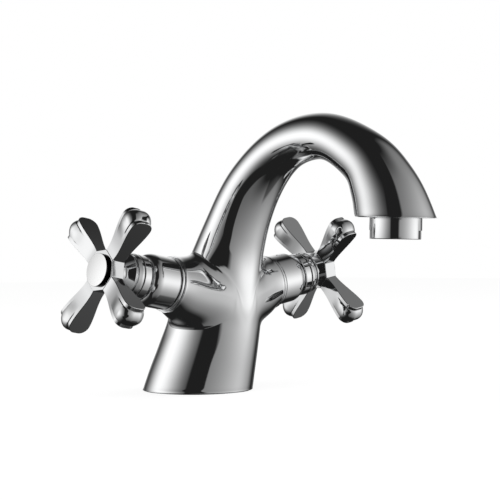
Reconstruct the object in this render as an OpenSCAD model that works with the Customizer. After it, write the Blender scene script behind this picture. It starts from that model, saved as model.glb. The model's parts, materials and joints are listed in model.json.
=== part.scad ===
// Two-handle basin mixer: one cast body with a swan-neck spout and two cross handles.
// Millimetres, +Z up. The origin is the centre of the round base, on the deck.
// The spout reaches towards -Y. The hot valve is on the -X side, the cold valve on +X.

/* [Base] */
// Diameter of the round base on the deck
base_d = 58.5; // [57:0.5:61]
// Height of the hollow under the base
cavity_h = 20; // [16:0.5:21]
// Width of the foot rim around the hollow
rim_w = 6.5; // [6:0.25:7.5]
// Section diameter of the sealing ring in the foot rim
seal_d = 2.6; // [2:0.1:3]

/* [Supply] */
// Radius of the two threaded holes for the supply tails
inlet_r = 5; // [4.5:0.1:5.3]
// Depth of the supply threads
inlet_depth = 12; // [9:0.5:13]
// Distance from the middle to each supply thread
inlet_x = 8; // [7.5:0.25:9]
// How far the supply threads lie in front of the base centre
inlet_y = 8; // [6:0.5:10]
// Radius of the threaded hole for the fixing stud
stud_r = 4; // [3:0.25:4.5]
// Depth of the stud thread
stud_depth = 12; // [9:0.5:13]
// How far the stud lies behind the base centre
stud_y = 6; // [4:0.5:7]
// Radius of the water passages in the body
passage_r = 4; // [3:0.25:4.25]

/* [Swan neck] */
// How far the outlet stands in front of the base centre
reach = 142.5; // [136:0.5:150]
// Height of the spout's outlet face at its middle
outlet_z = 87.5; // [84:0.5:92]
// Slope of the outlet face, lower at the front
outlet_tilt = 2; // [0:0.5:4]
// How far the top of the crown's centre line stands in front of the base centre
crown_y = 98; // [94:0.5:104]
// Height of the crown's centre line
crown_z = 127.8; // [122:0.2:134]
// Diameter of the body just above the base
foot_d = 55.7; // [54:0.1:57]
// Diameter of the body between base and arms
waist_d = 50.5; // [49:0.5:52.5]
// Diameter of the body at the arms
shoulder_d = 45.1; // [44:0.1:47.5]
// Diameter at the root of the neck
neck_d = 34.3; // [33:0.1:37]
// Diameter of the rising neck
rise_d = 29.3; // [27.5:0.1:31.5]
// Diameter behind the crown
bend_d = 24.6; // [23:0.2:28]
// Diameter at the crown
crown_d = 22.5; // [20:0.5:24]
// Diameter where the spout starts to flare
flare_d = 26; // [24:0.5:29]
// Diameter of the nose above the outlet
nose_d = 31.4; // [30:0.2:34]
// Diameter of the outlet face
outlet_d = 37; // [35:0.5:40]
// Wall of the spout around the waterway
neck_wall = 3; // [2.5:0.25:3.5]

/* [Arms] */
// How far the valve axes lie in front of the base centre
arm_y = 18.2; // [17:0.2:19.4]
// Height at which the two valve axes cross
arm_z = 50.9; // [49.5:0.1:52.5]
// Slope of each arm, rising outwards
arm_rise = 10; // [7:0.5:12]
// Length of an arm from the middle of the body
arm_len = 34.4; // [33:0.2:37]
// Diameter of an arm
arm_d = 29; // [28.4:0.1:30]
// Largest radius of the flare where an arm runs into the body
flare_r = 18.8; // [17:0.1:20]

/* [Valves] */
// Radius of the arm's tapped bore
valve_bore_r = 10.45; // [10.3:0.05:10.8]
// Radius of the water chamber behind the tapped bore
chamber_r = 10; // [9.7:0.05:10.2]
// Distance from the middle of the body to the valve seat
seat_s = 13.6; // [12.6:0.2:15]
// Radius of the hole in the valve seat
seat_r = 5.5; // [4.75:0.25:5.75]
// Radius of the sealing discs
disc_r = 7.6; // [7.3:0.1:7.7]
// Thickness of each sealing disc
disc_t = 3.2; // [2.6:0.2:3.6]
// Radius of the spindle in its bore
spindle_r = 5; // [4.6:0.1:5.2]
// Radius over the spline teeth of the spindle
spline_r = 4; // [3.7:0.1:4.2]
// Number of spline teeth
spline_teeth = 20; // [16:1:24]
// Width across the flats of the valve's hexagon
hex_af = 19; // [18:0.5:19.5]
// Height of the valve's hexagon
hex_h = 7; // [5:0.5:8]
// Thickness of the valve's flange
flange_t = 2.5; // [2:0.25:3]
// Radius of the valve's flange
flange_r = 11; // [10.9:0.1:11.3]

/* [Bonnets] */
// Outer radius of the thin trim ring under each bonnet
trim_r = 14; // [13.7:0.1:14.4]
// Width of the trim ring
trim_w = 2.3; // [1.8:0.1:2.8]
// Outer radius of the bonnet's barrel
bonnet_r = 13.4; // [13:0.1:13.6]
// Distance from the trim ring to the front of the bonnet's dome
bonnet_len = 15.4; // [14:0.2:17]
// Radius of the neck that stands out of the dome
collar_r = 9; // [8.8:0.1:9.3]
// Wall of the bonnet
bonnet_wall = 1.3; // [1:0.1:1.5]

/* [Handles] */
// Distance from the middle of the body to the back of the handle's bell
bell_s = 56.8; // [55.8:0.2:58]
// Radius of the bell's lip
bell_r = 11.6; // [11:0.1:12.2]
// Length of the bell and its neck up to the cross
bell_len = 13.2; // [12.4:0.2:14]
// Radius of the neck between bell and cross
handle_neck_r = 6.6; // [6.3:0.1:7.2]
// Distance from the handle's axis to the tip of an arm
cross_r = 36.4; // [33:0.2:39]
// Thickness of the cross at its hub
hub_t = 7.4; // [7:0.1:8.4]
// Distance from the axis to the flat web between two arms
web_r = 9.4; // [9:0.2:10]
// Width of an arm at its narrowest
arm_root_w = 8.6; // [7.6:0.1:9.4]
// Width of an arm near its tip
arm_tip_w = 12.6; // [11.2:0.2:14]
// Depth of an arm beside the hub
arm_root_t = 6.8; // [6:0.1:7]
// Depth of an arm near its tip
arm_tip_t = 9.8; // [8.8:0.2:11.4]
// Radius of the raised index cap
cap_r = 8; // [7.6:0.1:8.6]
// How far the index cap stands out of the hub
cap_h = 1.8; // [1.4:0.1:2.6]
// Turn of the hot handle on its spline when closed
hot_set = 50; // [36:1:60]
// Turn of the cold handle on its spline when closed
cold_set = 47; // [36:1:60]

/* [Aerator] */
// Outer radius of the aerator housing
aerator_r = 12; // [11.8:0.1:12.6]
// Height of the aerator housing that shows under the spout
aerator_h = 9.8; // [9.4:0.2:11]
// Outer radius of the spout's threaded nipple
nipple_r = 10.9; // [10.6:0.05:11]
// Length of the nipple
nipple_len = 5.2; // [4.4:0.2:5.4]
// Radius of the waterway through the nipple
nozzle_r = 8.6; // [7.8:0.1:8.8]
// Height of the spanner flats
flat_h = 4; // [3:0.5:5]
// Turn of the spanner flats about the outlet
flat_turn = 33; // [0:1:90]

/* [Hidden] */

HOT = -1;
COLD = 1;

// Clearances: between a turning piece and its bore, in a thread, and between stacked pieces
run_gap = 0.04;
thread_gap = 0.06;
stack_gap = 0.05;
// Air between a turning piece and a fixed cover
air_gap = 0.35;
cut = 0.5;

chrome = [0.80, 0.81, 0.83];
brass = [0.78, 0.62, 0.32];
rubber = [0.13, 0.13, 0.14];
ceramic = [0.92, 0.91, 0.88];
plastic = [0.86, 0.87, 0.88];
steel = [0.62, 0.64, 0.66];

round_fn = 96;
small_fn = 48;

seal_mid_r = base_d / 2 - rim_w / 2;

// Swan neck: stations of [forward, height, diameter, tilt of the section], joined by a smooth curve.
// The first section lies flat on the deck and the last one is the outlet face.
crown_rise = crown_z - arm_z;
crown_run = crown_y - arm_y;
fall_run = reach - crown_y;
fall_drop = crown_z - outlet_z;
stations = [
  [0, 0, base_d, 0],
  [0.23 * arm_y, 0.216 * arm_z, foot_d, 2.5],
  [0.628 * arm_y, 0.566 * arm_z, waist_d, 7],
  [arm_y + 0.7, arm_z - 0.2, shoulder_d, 16],
  [arm_y + 0.149 * crown_run, arm_z + 0.391 * crown_rise, neck_d, 27],
  [arm_y + 0.361 * crown_run, arm_z + 0.737 * crown_rise, rise_d, 39],
  [arm_y + 0.652 * crown_run, arm_z + 0.957 * crown_rise, bend_d, 67],
  [crown_y, crown_z, crown_d, 102],
  [crown_y + 0.562 * fall_run, crown_z - 0.285 * fall_drop, flare_d, 125],
  [crown_y + 0.836 * fall_run, crown_z - 0.634 * fall_drop, nose_d, 152],
  [reach, outlet_z, outlet_d, 180 + outlet_tilt]
];
last_station = len(stations) - 1;
neck_sides = 48;
waterway_sides = 24;
steps_per_span = 4;
waterway_start = 3.5;
waterway_end = 9.5;

// A station past either end of the list repeats the slope there
function station_at(i) =
  i < 0 ? 2 * stations[0] - stations[1] :
  i > last_station ? 2 * stations[last_station] - stations[last_station - 1] :
  stations[i];

// Smooth curve through four neighbouring stations, for u from 0 to 1 between b and c
function through(a, b, c, d, u) =
  (2 * b + (c - a) * u + (2 * a - 5 * b + 4 * c - d) * u * u + (3 * b - a - 3 * c + d) * u * u * u) / 2;

function neck_at(t) =
  let (i = min(floor(t), last_station - 1))
  through(station_at(i - 1), station_at(i), station_at(i + 1), station_at(i + 2), t - i);

// One round section of the neck, shrunk by the wall
function neck_ring(t, wall, sides) =
  let (s = neck_at(t), r = s[2] / 2 - wall)
  [for (k = [0:sides - 1])
    let (a = 360 * k / sides)
    [r * cos(a), -s[0] + r * sin(a) * cos(s[3]), s[1] + r * sin(a) * sin(s[3])]];

// Valve stack, measured along the valve axis from the middle of the body
trim_s = arm_len + stack_gap;
bonnet_s = trim_s + trim_w + stack_gap;
dome_s = bonnet_s + bonnet_len;
collar_end = bell_s + 3;
valve_face = arm_len + stack_gap;
hex_s = valve_face + flange_t;
valve_neck_r = collar_r - bonnet_wall - thread_gap;
valve_neck_end = collar_end - 2.4;
thread_start = 23;
// Where the supply passage enters the seat and where the mixed-water passage leaves the chamber
seat_depth = 6.6;
entry_s = seat_s - 4.1;
leave_s = seat_s + 4.4;
leave_lift = 6.6;
mix_x = 6;
sleeve_r = chamber_r - 1.1;
sleeve_s = seat_s + 1.4;
disc_bore_r = disc_r + 0.15;
seat_seal_t = 4;
fixed_disc_s = seat_s + seat_seal_t + stack_gap;
moving_disc_s = fixed_disc_s + disc_t + stack_gap;
foot_s = moving_disc_s + disc_t + stack_gap;
foot_t = 3;
key_t = 1.2;
key_w = 2.4;
washer_s = foot_s + foot_t + stack_gap;
washer_t = 0.8;
disc_chamber_end = washer_s + washer_t + stack_gap;
clip_t = 1;
clip_s = valve_neck_end + stack_gap;
spline_s = clip_s + clip_t + 1.2;
ring_section = 0.58;
ring_places = [40, 46];

// Handle, measured along the same axis
hub_back = bell_s + bell_len;
hub_front = hub_back + hub_t;
hub_mid = hub_back + hub_t / 2;
cap_face = hub_front + cap_h;
socket_r = spline_r + 0.05;
socket_end = hub_back + 1.5;
spindle_end = socket_end - 0.4;
bell_bore_r = collar_r + air_gap;
bell_bore_end = collar_end + air_gap + 0.6;
screw_r = 2;
screw_head_r = 3.5;
screw_head_t = 2.2;
screw_len = 11;
cap_plug_r = 6.2;
cap_plug_t = 1.5;
screw_seat_s = hub_front - cap_plug_t - screw_head_t - 0.4;

// Aerator, measured down from the outlet face
housing_bore_r = nipple_r + thread_gap;
lip_t = 1.6;
lip_r = aerator_r - 2.4;
gasket_t = 0.8;
gasket_z = nipple_len + stack_gap;
core_z = gasket_z + gasket_t + stack_gap;
core_flange_t = aerator_h - lip_t - core_z - stack_gap;
core_r = lip_r - 0.15;
screen_t = 0.5;
screen_pitch = 2.2;
strainer_r = nozzle_r - 0.3;

// Puts its children on a valve axis, with +Z along it and away from the body
module on_valve(side) {
  translate([0, -arm_y, arm_z])
    rotate([0, side * (90 - arm_rise), 0])
      children();
}

// Puts its children on the outlet, with +Z up the waterway
module on_outlet() {
  translate([0, -reach, outlet_z])
    rotate([outlet_tilt, 0, 0])
      children();
}

// A round bar between two distances along +Z
module bar(r, from, to, fn = round_fn) {
  translate([0, 0, from])
    cylinder(r = r, h = to - from, $fn = fn);
}

// A plain ring between two distances along +Z
module tube(r_out, r_in, from, to, fn = round_fn) {
  difference() {
    bar(r_out, from, to, fn);
    bar(r_in, from - cut, to + cut, fn);
  }
}

// A ring of round section lying across +Z
module torus(major, minor, at) {
  translate([0, 0, at])
    rotate_extrude($fn = round_fn)
      translate([major, 0])
        circle(r = minor, $fn = 32);
}

// A round bore from one point to another
module drill(from, to, r) {
  run = to - from;
  length = norm(run);
  translate(from)
    rotate([0, acos(run[2] / length), atan2(run[1], run[0])])
      cylinder(r = r, h = length, $fn = small_fn);
}

// A smooth skin over a stack of rings with equal numbers of points
module skin(rings) {
  n = len(rings[0]);
  m = len(rings);
  points = [for (ring = rings) for (p = ring) p];
  sides = [
    for (i = [0:m - 2]) for (k = [0:n - 1])
      let (a = i * n + k, b = i * n + (k + 1) % n)
      each [[a, a + n, b], [b, a + n, b + n]]
  ];
  first = [for (k = [0:n - 1]) k];
  last = [for (k = [n - 1:-1:0]) (m - 1) * n + k];
  polyhedron(points = points, faces = concat([first, last], sides), convexity = 6);
}

// The solid outside of body and spout
module neck_skin() {
  steps = last_station * steps_per_span;
  skin([for (i = [0:steps]) neck_ring(i / steps_per_span, 0, neck_sides)]);
}

// The waterway up the neck and over the crown
module neck_waterway() {
  steps = (waterway_end - waterway_start) * steps_per_span;
  skin([for (i = [0:steps]) neck_ring(waterway_start + i / steps_per_span, neck_wall, waterway_sides)]);
}

// One side arm with the flare that runs into the body and closes again inside it
module arm_outside(side) {
  edge = 0.6;
  arm_r = arm_d / 2;
  flare_start = arm_len - 1.2;
  flare_end = 0.6 * arm_len;
  inner_end = 0.24 * arm_len;
  steps = 8;
  flare = [for (i = [0:steps])
    let (u = i / steps, swell = u * u * (3 - 2 * u))
    [flare_r + (arm_r - flare_r) * swell, flare_end + (flare_start - flare_end) * u]];
  on_valve(side)
    rotate_extrude($fn = round_fn)
      polygon(concat(
        [[0, inner_end], [arm_r, inner_end], [flare_r - 1.2, inner_end + 4.4], [flare_r - 0.2, inner_end + 8]],
        flare,
        [[arm_r, arm_len - edge], [arm_r - edge, arm_len], [0, arm_len]]
      ));
}

// Everything hollow inside one side arm: valve bore, chamber, seat and the two water passages
module arm_hollow(side) {
  on_valve(side) {
    bar(valve_bore_r, thread_start, arm_len + cut);
    bar(chamber_r, seat_s, thread_start + cut);
    bar(seat_r, seat_s - seat_depth, seat_s + cut);
    // Step for the seal under the valve's flange
    bar(flange_r + 0.3, arm_len - 0.9, arm_len + cut);
  }
  inlet_top = cavity_h + inlet_depth;
  drill([side * inlet_x, -inlet_y, inlet_top - 2],
        [side * entry_s, -arm_y + 0.5, arm_z + 0.8], passage_r);
  mix = neck_at(waterway_start + 0.3);
  drill([side * leave_s, -arm_y - 2, arm_z + leave_lift],
        [side * mix_x, -mix[0], mix[1]], passage_r);
}

module body() {
  color(chrome)
    difference() {
      union() {
        neck_skin();
        arm_outside(HOT);
        arm_outside(COLD);
        on_outlet() bar(nipple_r, -nipple_len, cut);
      }
      neck_waterway();
      on_outlet() bar(nozzle_r, -nipple_len - cut, 10);
      arm_hollow(HOT);
      arm_hollow(COLD);
      base_hollow();
      // Groove for the sealing ring
      tube(seal_mid_r + seal_d / 2 + 0.1, seal_mid_r - seal_d / 2 - 0.1, -cut, seal_d + 0.1);
      for (side = [HOT, COLD])
        translate([side * inlet_x, -inlet_y, 0])
          bar(inlet_r, cavity_h - cut, cavity_h + inlet_depth, small_fn);
      translate([0, stud_y, 0])
        bar(stud_r, cavity_h - cut, cavity_h + stud_depth, small_fn);
    }
}

// The hollow under the base leans forward with the body
module base_hollow() {
  lean = 19;
  intersection() {
    rotate([lean, 0, 0])
      bar((base_d / 2 - rim_w) * cos(lean), -base_d / 2, base_d);
    translate([-base_d / 2, -base_d, -cut])
      cube([base_d, 2 * base_d, cavity_h + cut]);
  }
}

module base_seal() {
  color(rubber)
    torus(seal_mid_r, seal_d / 2 - 0.05, seal_d / 2);
}

module aerator_housing() {
  color(chrome)
    on_outlet()
      difference() {
        tube(aerator_r, housing_bore_r, -aerator_h + lip_t, -stack_gap);
        spanner_flats();
      }
  color(chrome)
    on_outlet()
      difference() {
        tube(aerator_r, lip_r, -aerator_h, -aerator_h + lip_t);
        spanner_flats();
      }
}

// Two flats at the foot of the housing
module spanner_flats() {
  rotate([0, 0, flat_turn])
    for (end = [-1, 1])
      translate([-aerator_r, end > 0 ? aerator_r - 0.9 : -2 * aerator_r + 0.9, -aerator_h - cut])
        cube([2 * aerator_r, aerator_r, flat_h + cut]);
}

module aerator_gasket() {
  color(rubber)
    on_outlet()
      tube(nipple_r, nozzle_r, -gasket_z - gasket_t, -gasket_z);
}

// Dome-topped strainer standing up into the nipple
module aerator_strainer() {
  color(plastic)
    on_outlet()
      difference() {
        bar(strainer_r, -core_z + stack_gap, -core_z + 2.6, small_fn);
        bar(strainer_r - 0.8, -core_z - cut, -core_z + 1.8, small_fn);
        strainer_holes();
      }
}

module strainer_holes() {
  hole_r = 0.5;
  for (ring = [1:3])
    for (k = [0:6 * ring - 1])
      rotate([0, 0, 60 * k / ring])
        translate([ring * 2.1, 0, 0])
          bar(hole_r, -core_z, -core_z + 4, 16);
}

// Plastic core with its flange on the housing's lip
module aerator_core() {
  color(plastic)
    on_outlet()
      difference() {
        union() {
          bar(housing_bore_r - 0.1, -core_z - core_flange_t, -core_z, small_fn);
          bar(core_r, -aerator_h + screen_t + 0.2, -core_z - core_flange_t + cut, small_fn);
        }
        for (k = [0:11])
          rotate([0, 0, 30 * k])
            translate([6.6, 0, 0])
              bar(1, -aerator_h - cut, cut, 24);
        bar(4.6, -aerator_h - cut, -core_z - 0.8, small_fn);
        for (k = [0:5])
          rotate([0, 0, 60 * k])
            translate([2.6, 0, 0])
              bar(0.7, -aerator_h - cut, cut, 16);
      }
}

// Flat outlet screen with round holes on a hexagonal pattern
module aerator_screen() {
  color(steel)
    on_outlet()
      difference() {
        bar(core_r, -aerator_h + 0.15, -aerator_h + 0.15 + screen_t - 0.05, small_fn);
        for (row = [-3:3])
          for (k = [0:6 - abs(row)])
            translate([(k - (6 - abs(row)) / 2) * screen_pitch, row * screen_pitch * sin(60), 0])
              bar(0.8, -aerator_h - cut, -aerator_h + 2, 16);
      }
}

// Rubber lip seal that presses the discs together and closes on the seat
module seat_seal(side) {
  color(rubber)
    on_valve(side)
      tube(disc_r, seat_r, seat_s + stack_gap, seat_s + seat_seal_t);
}

module fixed_disc(side) {
  color(ceramic)
    on_valve(side)
      difference() {
        bar(disc_r, fixed_disc_s, fixed_disc_s + disc_t, small_fn);
        quarter_pair(fixed_disc_s, 0);
      }
}

// A quarter opening on each side, turned by the given angle
module quarter_pair(from, turn) {
  for (half = [0, 180])
    rotate([0, 0, turn + half])
      translate([0, 0, from - cut])
        linear_extrude(height = disc_t + 2 * cut)
          polygon(concat(
            [for (a = [-38:19:38]) (disc_r - 1.3) * [cos(a), sin(a)]],
            [for (a = [38:-38:-38]) 1.8 * [cos(a), sin(a)]]
          ));
}

// Closed at rest: its openings stand a quarter turn away from those of the fixed disc
module moving_disc(side) {
  color(ceramic)
    on_valve(side)
      difference() {
        bar(disc_r, moving_disc_s, moving_disc_s + disc_t, small_fn);
        quarter_pair(moving_disc_s, 90);
        key_slot(moving_disc_s + disc_t - key_t - 0.1, 0.1);
      }
}

// Slot across the back of the moving disc, filled by the key on the spindle's foot
module key_slot(from, gap) {
  translate([-disc_r - cut, -key_w / 2 - gap, from])
    cube([2 * disc_r + 2 * cut, key_w + 2 * gap, key_t + 1]);
}

module glide_washer(side) {
  color(plastic)
    on_valve(side)
      tube(disc_r, spindle_r + 0.2, washer_s, washer_s + washer_t);
}

// Brass valve body: sleeve for the discs, thread, flange, hexagon and neck
module valve_body(side) {
  color(brass)
    on_valve(side)
      difference() {
        union() {
          bar(sleeve_r, sleeve_s, thread_start + cut);
          bar(valve_bore_r - thread_gap, thread_start + 0.1, valve_face + cut);
          bar(flange_r, valve_face, hex_s);
          translate([0, 0, hex_s - cut])
            cylinder(d = hex_af / cos(30), h = hex_h + cut, $fn = 6);
          bar(valve_neck_r, hex_s + hex_h - cut, valve_neck_end);
        }
        bar(disc_bore_r, sleeve_s - cut, disc_chamber_end);
        bar(spindle_r + run_gap, disc_chamber_end - cut, valve_neck_end + cut);
        // Two windows let the water out of the sleeve
        for (half = [0, 180])
          rotate([0, 0, half])
            translate([-3, 0, moving_disc_s + 0.4])
              cube([6, chamber_r + 2, 2.2]);
      }
}

module flange_seal(side) {
  color(rubber)
    on_valve(side)
      tube(flange_r + 0.2, valve_bore_r + 0.05, arm_len - 0.85, arm_len);
}

// Spindle with its foot and key, two ring grooves, a clip groove, the spline and a tapped end
module spindle(side) {
  color(brass)
    on_valve(side)
      difference() {
        union() {
          bar(disc_r - 0.1, foot_s, foot_s + foot_t, small_fn);
          intersection() {
            key_slot(foot_s - key_t, 0);
            bar(disc_r - 0.2, foot_s - key_t, foot_s + 0.5, small_fn);
          }
          bar(spindle_r, foot_s + 1, spline_s);
          translate([0, 0, spline_s - cut])
            linear_extrude(height = spindle_end - spline_s + cut)
              spline_outline(spline_r);
        }
        for (at = ring_places)
          tube(spindle_r + cut, spindle_r - 2 * ring_section, at - ring_section - 0.1, at + ring_section + 0.1);
        tube(spindle_r + cut, spindle_r - 0.8, clip_s - 0.02, clip_s + clip_t + 0.02);
        bar(screw_r + 0.05, screw_seat_s - screw_len - 0.6, spindle_end + cut, small_fn);
      }
}

// Toothed outline of the spline
module spline_outline(r) {
  polygon([for (k = [0:2 * spline_teeth - 1])
    let (a = 180 * k / spline_teeth, rr = k % 2 == 0 ? r : r - 0.35)
    rr * [cos(a), sin(a)]]);
}

module spindle_rings(side) {
  color(rubber)
    on_valve(side)
      for (at = ring_places)
        torus(spindle_r - ring_section + 0.01, ring_section - 0.01, at);
}

// Open spring clip that holds the spindle in
module circlip(side) {
  color(steel)
    on_valve(side)
      difference() {
        tube(spindle_r + 1.3, spindle_r - 0.75, clip_s, clip_s + clip_t);
        translate([0, -1.5, clip_s - cut])
          cube([spindle_r + 3, 3, clip_t + 2 * cut]);
      }
}

module trim_ring(side) {
  edge = 0.4;
  color(chrome)
    on_valve(side)
      rotate_extrude($fn = round_fn)
        polygon([
          [flange_r + 0.1, trim_s], [trim_r - edge, trim_s], [trim_r, trim_s + edge],
          [trim_r, trim_s + trim_w - edge], [trim_r - edge, trim_s + trim_w],
          [flange_r + 0.1, trim_s + trim_w]
        ]);
}

// Barrel, rounded dome and collar in one turned shell
module bonnet(side) {
  dome_len = 7;
  shoulder_s = dome_s - dome_len;
  steps = 8;
  drop = bonnet_r - collar_r - 0.5;
  dome = [for (i = [0:steps])
    let (a = 90 * i / steps)
    [bonnet_r - drop * (1 - cos(a)), shoulder_s + dome_len * sin(a)]];
  inside_r = bonnet_r - bonnet_wall;
  inside_s = shoulder_s - 0.4;
  color(chrome)
    on_valve(side)
      rotate_extrude($fn = round_fn)
        polygon(concat(
          [[inside_r, bonnet_s], [bonnet_r - 0.3, bonnet_s], [bonnet_r, bonnet_s + 0.3]],
          dome,
          [[collar_r, dome_s + 0.3], [collar_r, collar_end - 0.3], [collar_r - 0.3, collar_end],
           [collar_r - bonnet_wall, collar_end], [collar_r - bonnet_wall, dome_s - 2], [inside_r, inside_s]]
        ));
}

// Outline of one handle arm seen along the axis, from the hub to its rounded tip
function arm_plan() =
  let (
    root = arm_root_w / 2,
    tip = arm_tip_w / 2,
    corner = tip * 0.72,
    swell = cross_r - 4.6,
    edge = concat(
      [[0, root], [web_r * 0.95, root + 0.2], [web_r + 4, root]],
      [for (i = [1:6])
        let (u = i / 6, e = u * u * (3 - 2 * u))
        [web_r + 4 + (swell - web_r - 4) * u, root + (tip - root) * e]],
      [for (a = [75:-15:0])
        [cross_r - corner + corner * cos(a), tip - corner + corner * sin(a)]],
      [[cross_r, 0]]
    )
  )
  concat(edge, [for (i = [len(edge) - 2:-1:0]) [edge[i][0], -edge[i][1]]]);

// Outline of one handle arm seen from its side, with a round end
function arm_side() =
  let (
    root = arm_root_t / 2,
    tip = arm_tip_t / 2,
    corner = tip * 0.68,
    swell = cross_r - corner - 1,
    edge = concat(
      [[0, hub_t / 2], [web_r * 0.9, hub_t / 2]],
      [for (i = [1:6])
        let (u = i / 6, e = u * u * (3 - 2 * u))
        [web_r + 2 + (swell - web_r - 2) * u, root + (tip - root) * e]],
      [for (a = [75:-15:0])
        [cross_r - corner + corner * cos(a), tip - corner + corner * sin(a)]],
      [[cross_r, 0]]
    )
  )
  concat(edge, [for (i = [len(edge) - 2:-1:0]) [edge[i][0], -edge[i][1]]]);

module cross_arm() {
  intersection() {
    translate([0, 0, hub_mid - arm_tip_t])
      linear_extrude(height = 2 * arm_tip_t)
        polygon(arm_plan());
    translate([0, arm_tip_w, hub_mid])
      rotate([90, 0, 0])
        linear_extrude(height = 2 * arm_tip_w)
          polygon(arm_side());
  }
}

// Turned bell: lip, bead, hollow cove and neck
function bell_profile() = [
  [0, bell_s], [bell_r - 0.5, bell_s], [bell_r, bell_s + 0.5], [bell_r, bell_s + 1.8],
  [bell_r - 0.6, bell_s + 2.3], [bell_r - 0.7, bell_s + 2.9], [bell_r - 0.3, bell_s + 3.4],
  [bell_r - 0.5, bell_s + 4.2], [bell_r - 1.4, bell_s + 4.6], [bell_r - 2.6, bell_s + 5.6],
  [bell_r - 3.6, bell_s + 7], [handle_neck_r + 0.5, bell_s + 9], [handle_neck_r, bell_s + 10.6],
  [handle_neck_r + 0.3, hub_back - 0.6], [handle_neck_r + 1, hub_back + 0.2], [0, hub_back + 0.2]
];

module handle(side, set) {
  hub_corner = web_r / cos(22.5);
  color(chrome)
    on_valve(side)
      difference() {
        union() {
          rotate_extrude($fn = round_fn) polygon(bell_profile());
          rotate([0, 0, set]) {
            translate([0, 0, hub_back])
              rotate([0, 0, 22.5])
                cylinder(r = hub_corner, h = hub_t, $fn = 8);
            for (k = [0:3])
              rotate([0, 0, 90 * k]) cross_arm();
          }
        }
        bar(bell_bore_r, bell_s - cut, bell_bore_end);
        translate([0, 0, bell_bore_end - cut])
          linear_extrude(height = socket_end - bell_bore_end + cut)
            spline_outline(socket_r);
        bar(screw_r + 0.3, socket_end - cut, hub_front, small_fn);
        bar(screw_head_r + 0.2, screw_seat_s, hub_front, small_fn);
        bar(cap_plug_r + 0.1, hub_front - cap_plug_t - 0.2, hub_front + arm_tip_t);
        bar(cap_r + 0.1, hub_front, hub_front + arm_tip_t);
      }
}

module handle_screw(side) {
  color(steel)
    on_valve(side)
      difference() {
        union() {
          bar(screw_r, screw_seat_s - screw_len, screw_seat_s + cut, small_fn);
          bar(screw_head_r, screw_seat_s + 0.02, screw_seat_s + screw_head_t, small_fn);
        }
        // Cross recess
        for (turn = [0, 90])
          rotate([0, 0, turn])
            translate([-2, -0.4, screw_seat_s + 0.9])
              cube([4, 0.8, screw_head_t]);
      }
}

// Flat round cap with a soft rim, its plug in the hub
module index_cap(side) {
  edge = 0.5;
  color(chrome)
    on_valve(side)
      rotate_extrude($fn = round_fn)
        polygon([
          [0, hub_front - cap_plug_t], [cap_plug_r, hub_front - cap_plug_t], [cap_plug_r, hub_front + 0.02],
          [cap_r, hub_front + 0.02], [cap_r, cap_face - edge], [cap_r - 0.15, cap_face - 0.15],
          [cap_r - edge, cap_face], [0, cap_face]
        ]);
}

body();
base_seal();
aerator_housing();
aerator_gasket();
aerator_strainer();
aerator_core();
aerator_screen();
seat_seal(HOT);  // hot_seat_seal
fixed_disc(HOT);  // hot_fixed_disc
moving_disc(HOT);  // hot_moving_disc
glide_washer(HOT);  // hot_glide_washer
valve_body(HOT);  // hot_valve_body
flange_seal(HOT);  // hot_flange_seal
spindle(HOT);  // hot_spindle
spindle_rings(HOT);  // hot_spindle_rings
circlip(HOT);  // hot_circlip
trim_ring(HOT);  // hot_trim_ring
bonnet(HOT);  // hot_bonnet
handle(HOT, hot_set);  // hot_handle
handle_screw(HOT);  // hot_handle_screw
index_cap(HOT);  // hot_index_cap
seat_seal(COLD);  // cold_seat_seal
fixed_disc(COLD);  // cold_fixed_disc
moving_disc(COLD);  // cold_moving_disc
glide_washer(COLD);  // cold_glide_washer
valve_body(COLD);  // cold_valve_body
flange_seal(COLD);  // cold_flange_seal
spindle(COLD);  // cold_spindle
spindle_rings(COLD);  // cold_spindle_rings
circlip(COLD);  // cold_circlip
trim_ring(COLD);  // cold_trim_ring
bonnet(COLD);  // cold_bonnet
handle(COLD, cold_set);  // cold_handle
handle_screw(COLD);  // cold_handle_screw
index_cap(COLD);  // cold_index_cap
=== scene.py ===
"""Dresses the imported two-handle basin mixer.

The smooth cast body, the turned rings, bonnets and caps, the cross handles and the aerator are
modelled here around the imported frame, then finished and lit in a plain studio. Sizes are in
millimetres and are brought to metres when a piece is finished.
"""

from __future__ import annotations

import json
import logging
import math
from dataclasses import dataclass, field
from enum import Enum

import bmesh
import bpy
from bmesh.types import BMesh, BMEdge, BMVert
from bpy.types import Material, Node, NodeSocket, NodeTree, Object
from mathutils import Matrix, Vector

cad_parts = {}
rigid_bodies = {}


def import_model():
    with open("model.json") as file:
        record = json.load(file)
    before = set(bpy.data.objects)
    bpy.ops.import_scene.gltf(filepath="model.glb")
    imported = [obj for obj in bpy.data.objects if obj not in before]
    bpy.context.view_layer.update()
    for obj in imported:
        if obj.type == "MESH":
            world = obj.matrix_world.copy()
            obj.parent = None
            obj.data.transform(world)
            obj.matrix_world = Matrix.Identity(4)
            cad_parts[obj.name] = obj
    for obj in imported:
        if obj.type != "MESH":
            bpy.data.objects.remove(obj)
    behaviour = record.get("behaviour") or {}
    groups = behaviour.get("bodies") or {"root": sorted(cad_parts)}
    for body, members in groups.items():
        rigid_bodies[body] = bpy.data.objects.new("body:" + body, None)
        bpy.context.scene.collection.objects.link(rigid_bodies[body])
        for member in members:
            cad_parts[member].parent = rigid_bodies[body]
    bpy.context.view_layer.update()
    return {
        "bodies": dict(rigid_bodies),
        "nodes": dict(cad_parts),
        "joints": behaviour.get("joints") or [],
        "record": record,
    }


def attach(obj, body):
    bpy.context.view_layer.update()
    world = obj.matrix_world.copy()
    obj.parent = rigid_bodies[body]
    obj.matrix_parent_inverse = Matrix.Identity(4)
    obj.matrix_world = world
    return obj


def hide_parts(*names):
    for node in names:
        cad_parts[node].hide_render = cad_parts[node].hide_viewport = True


LOG = logging.getLogger("basin_mixer")
MM = 0.001
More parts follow.
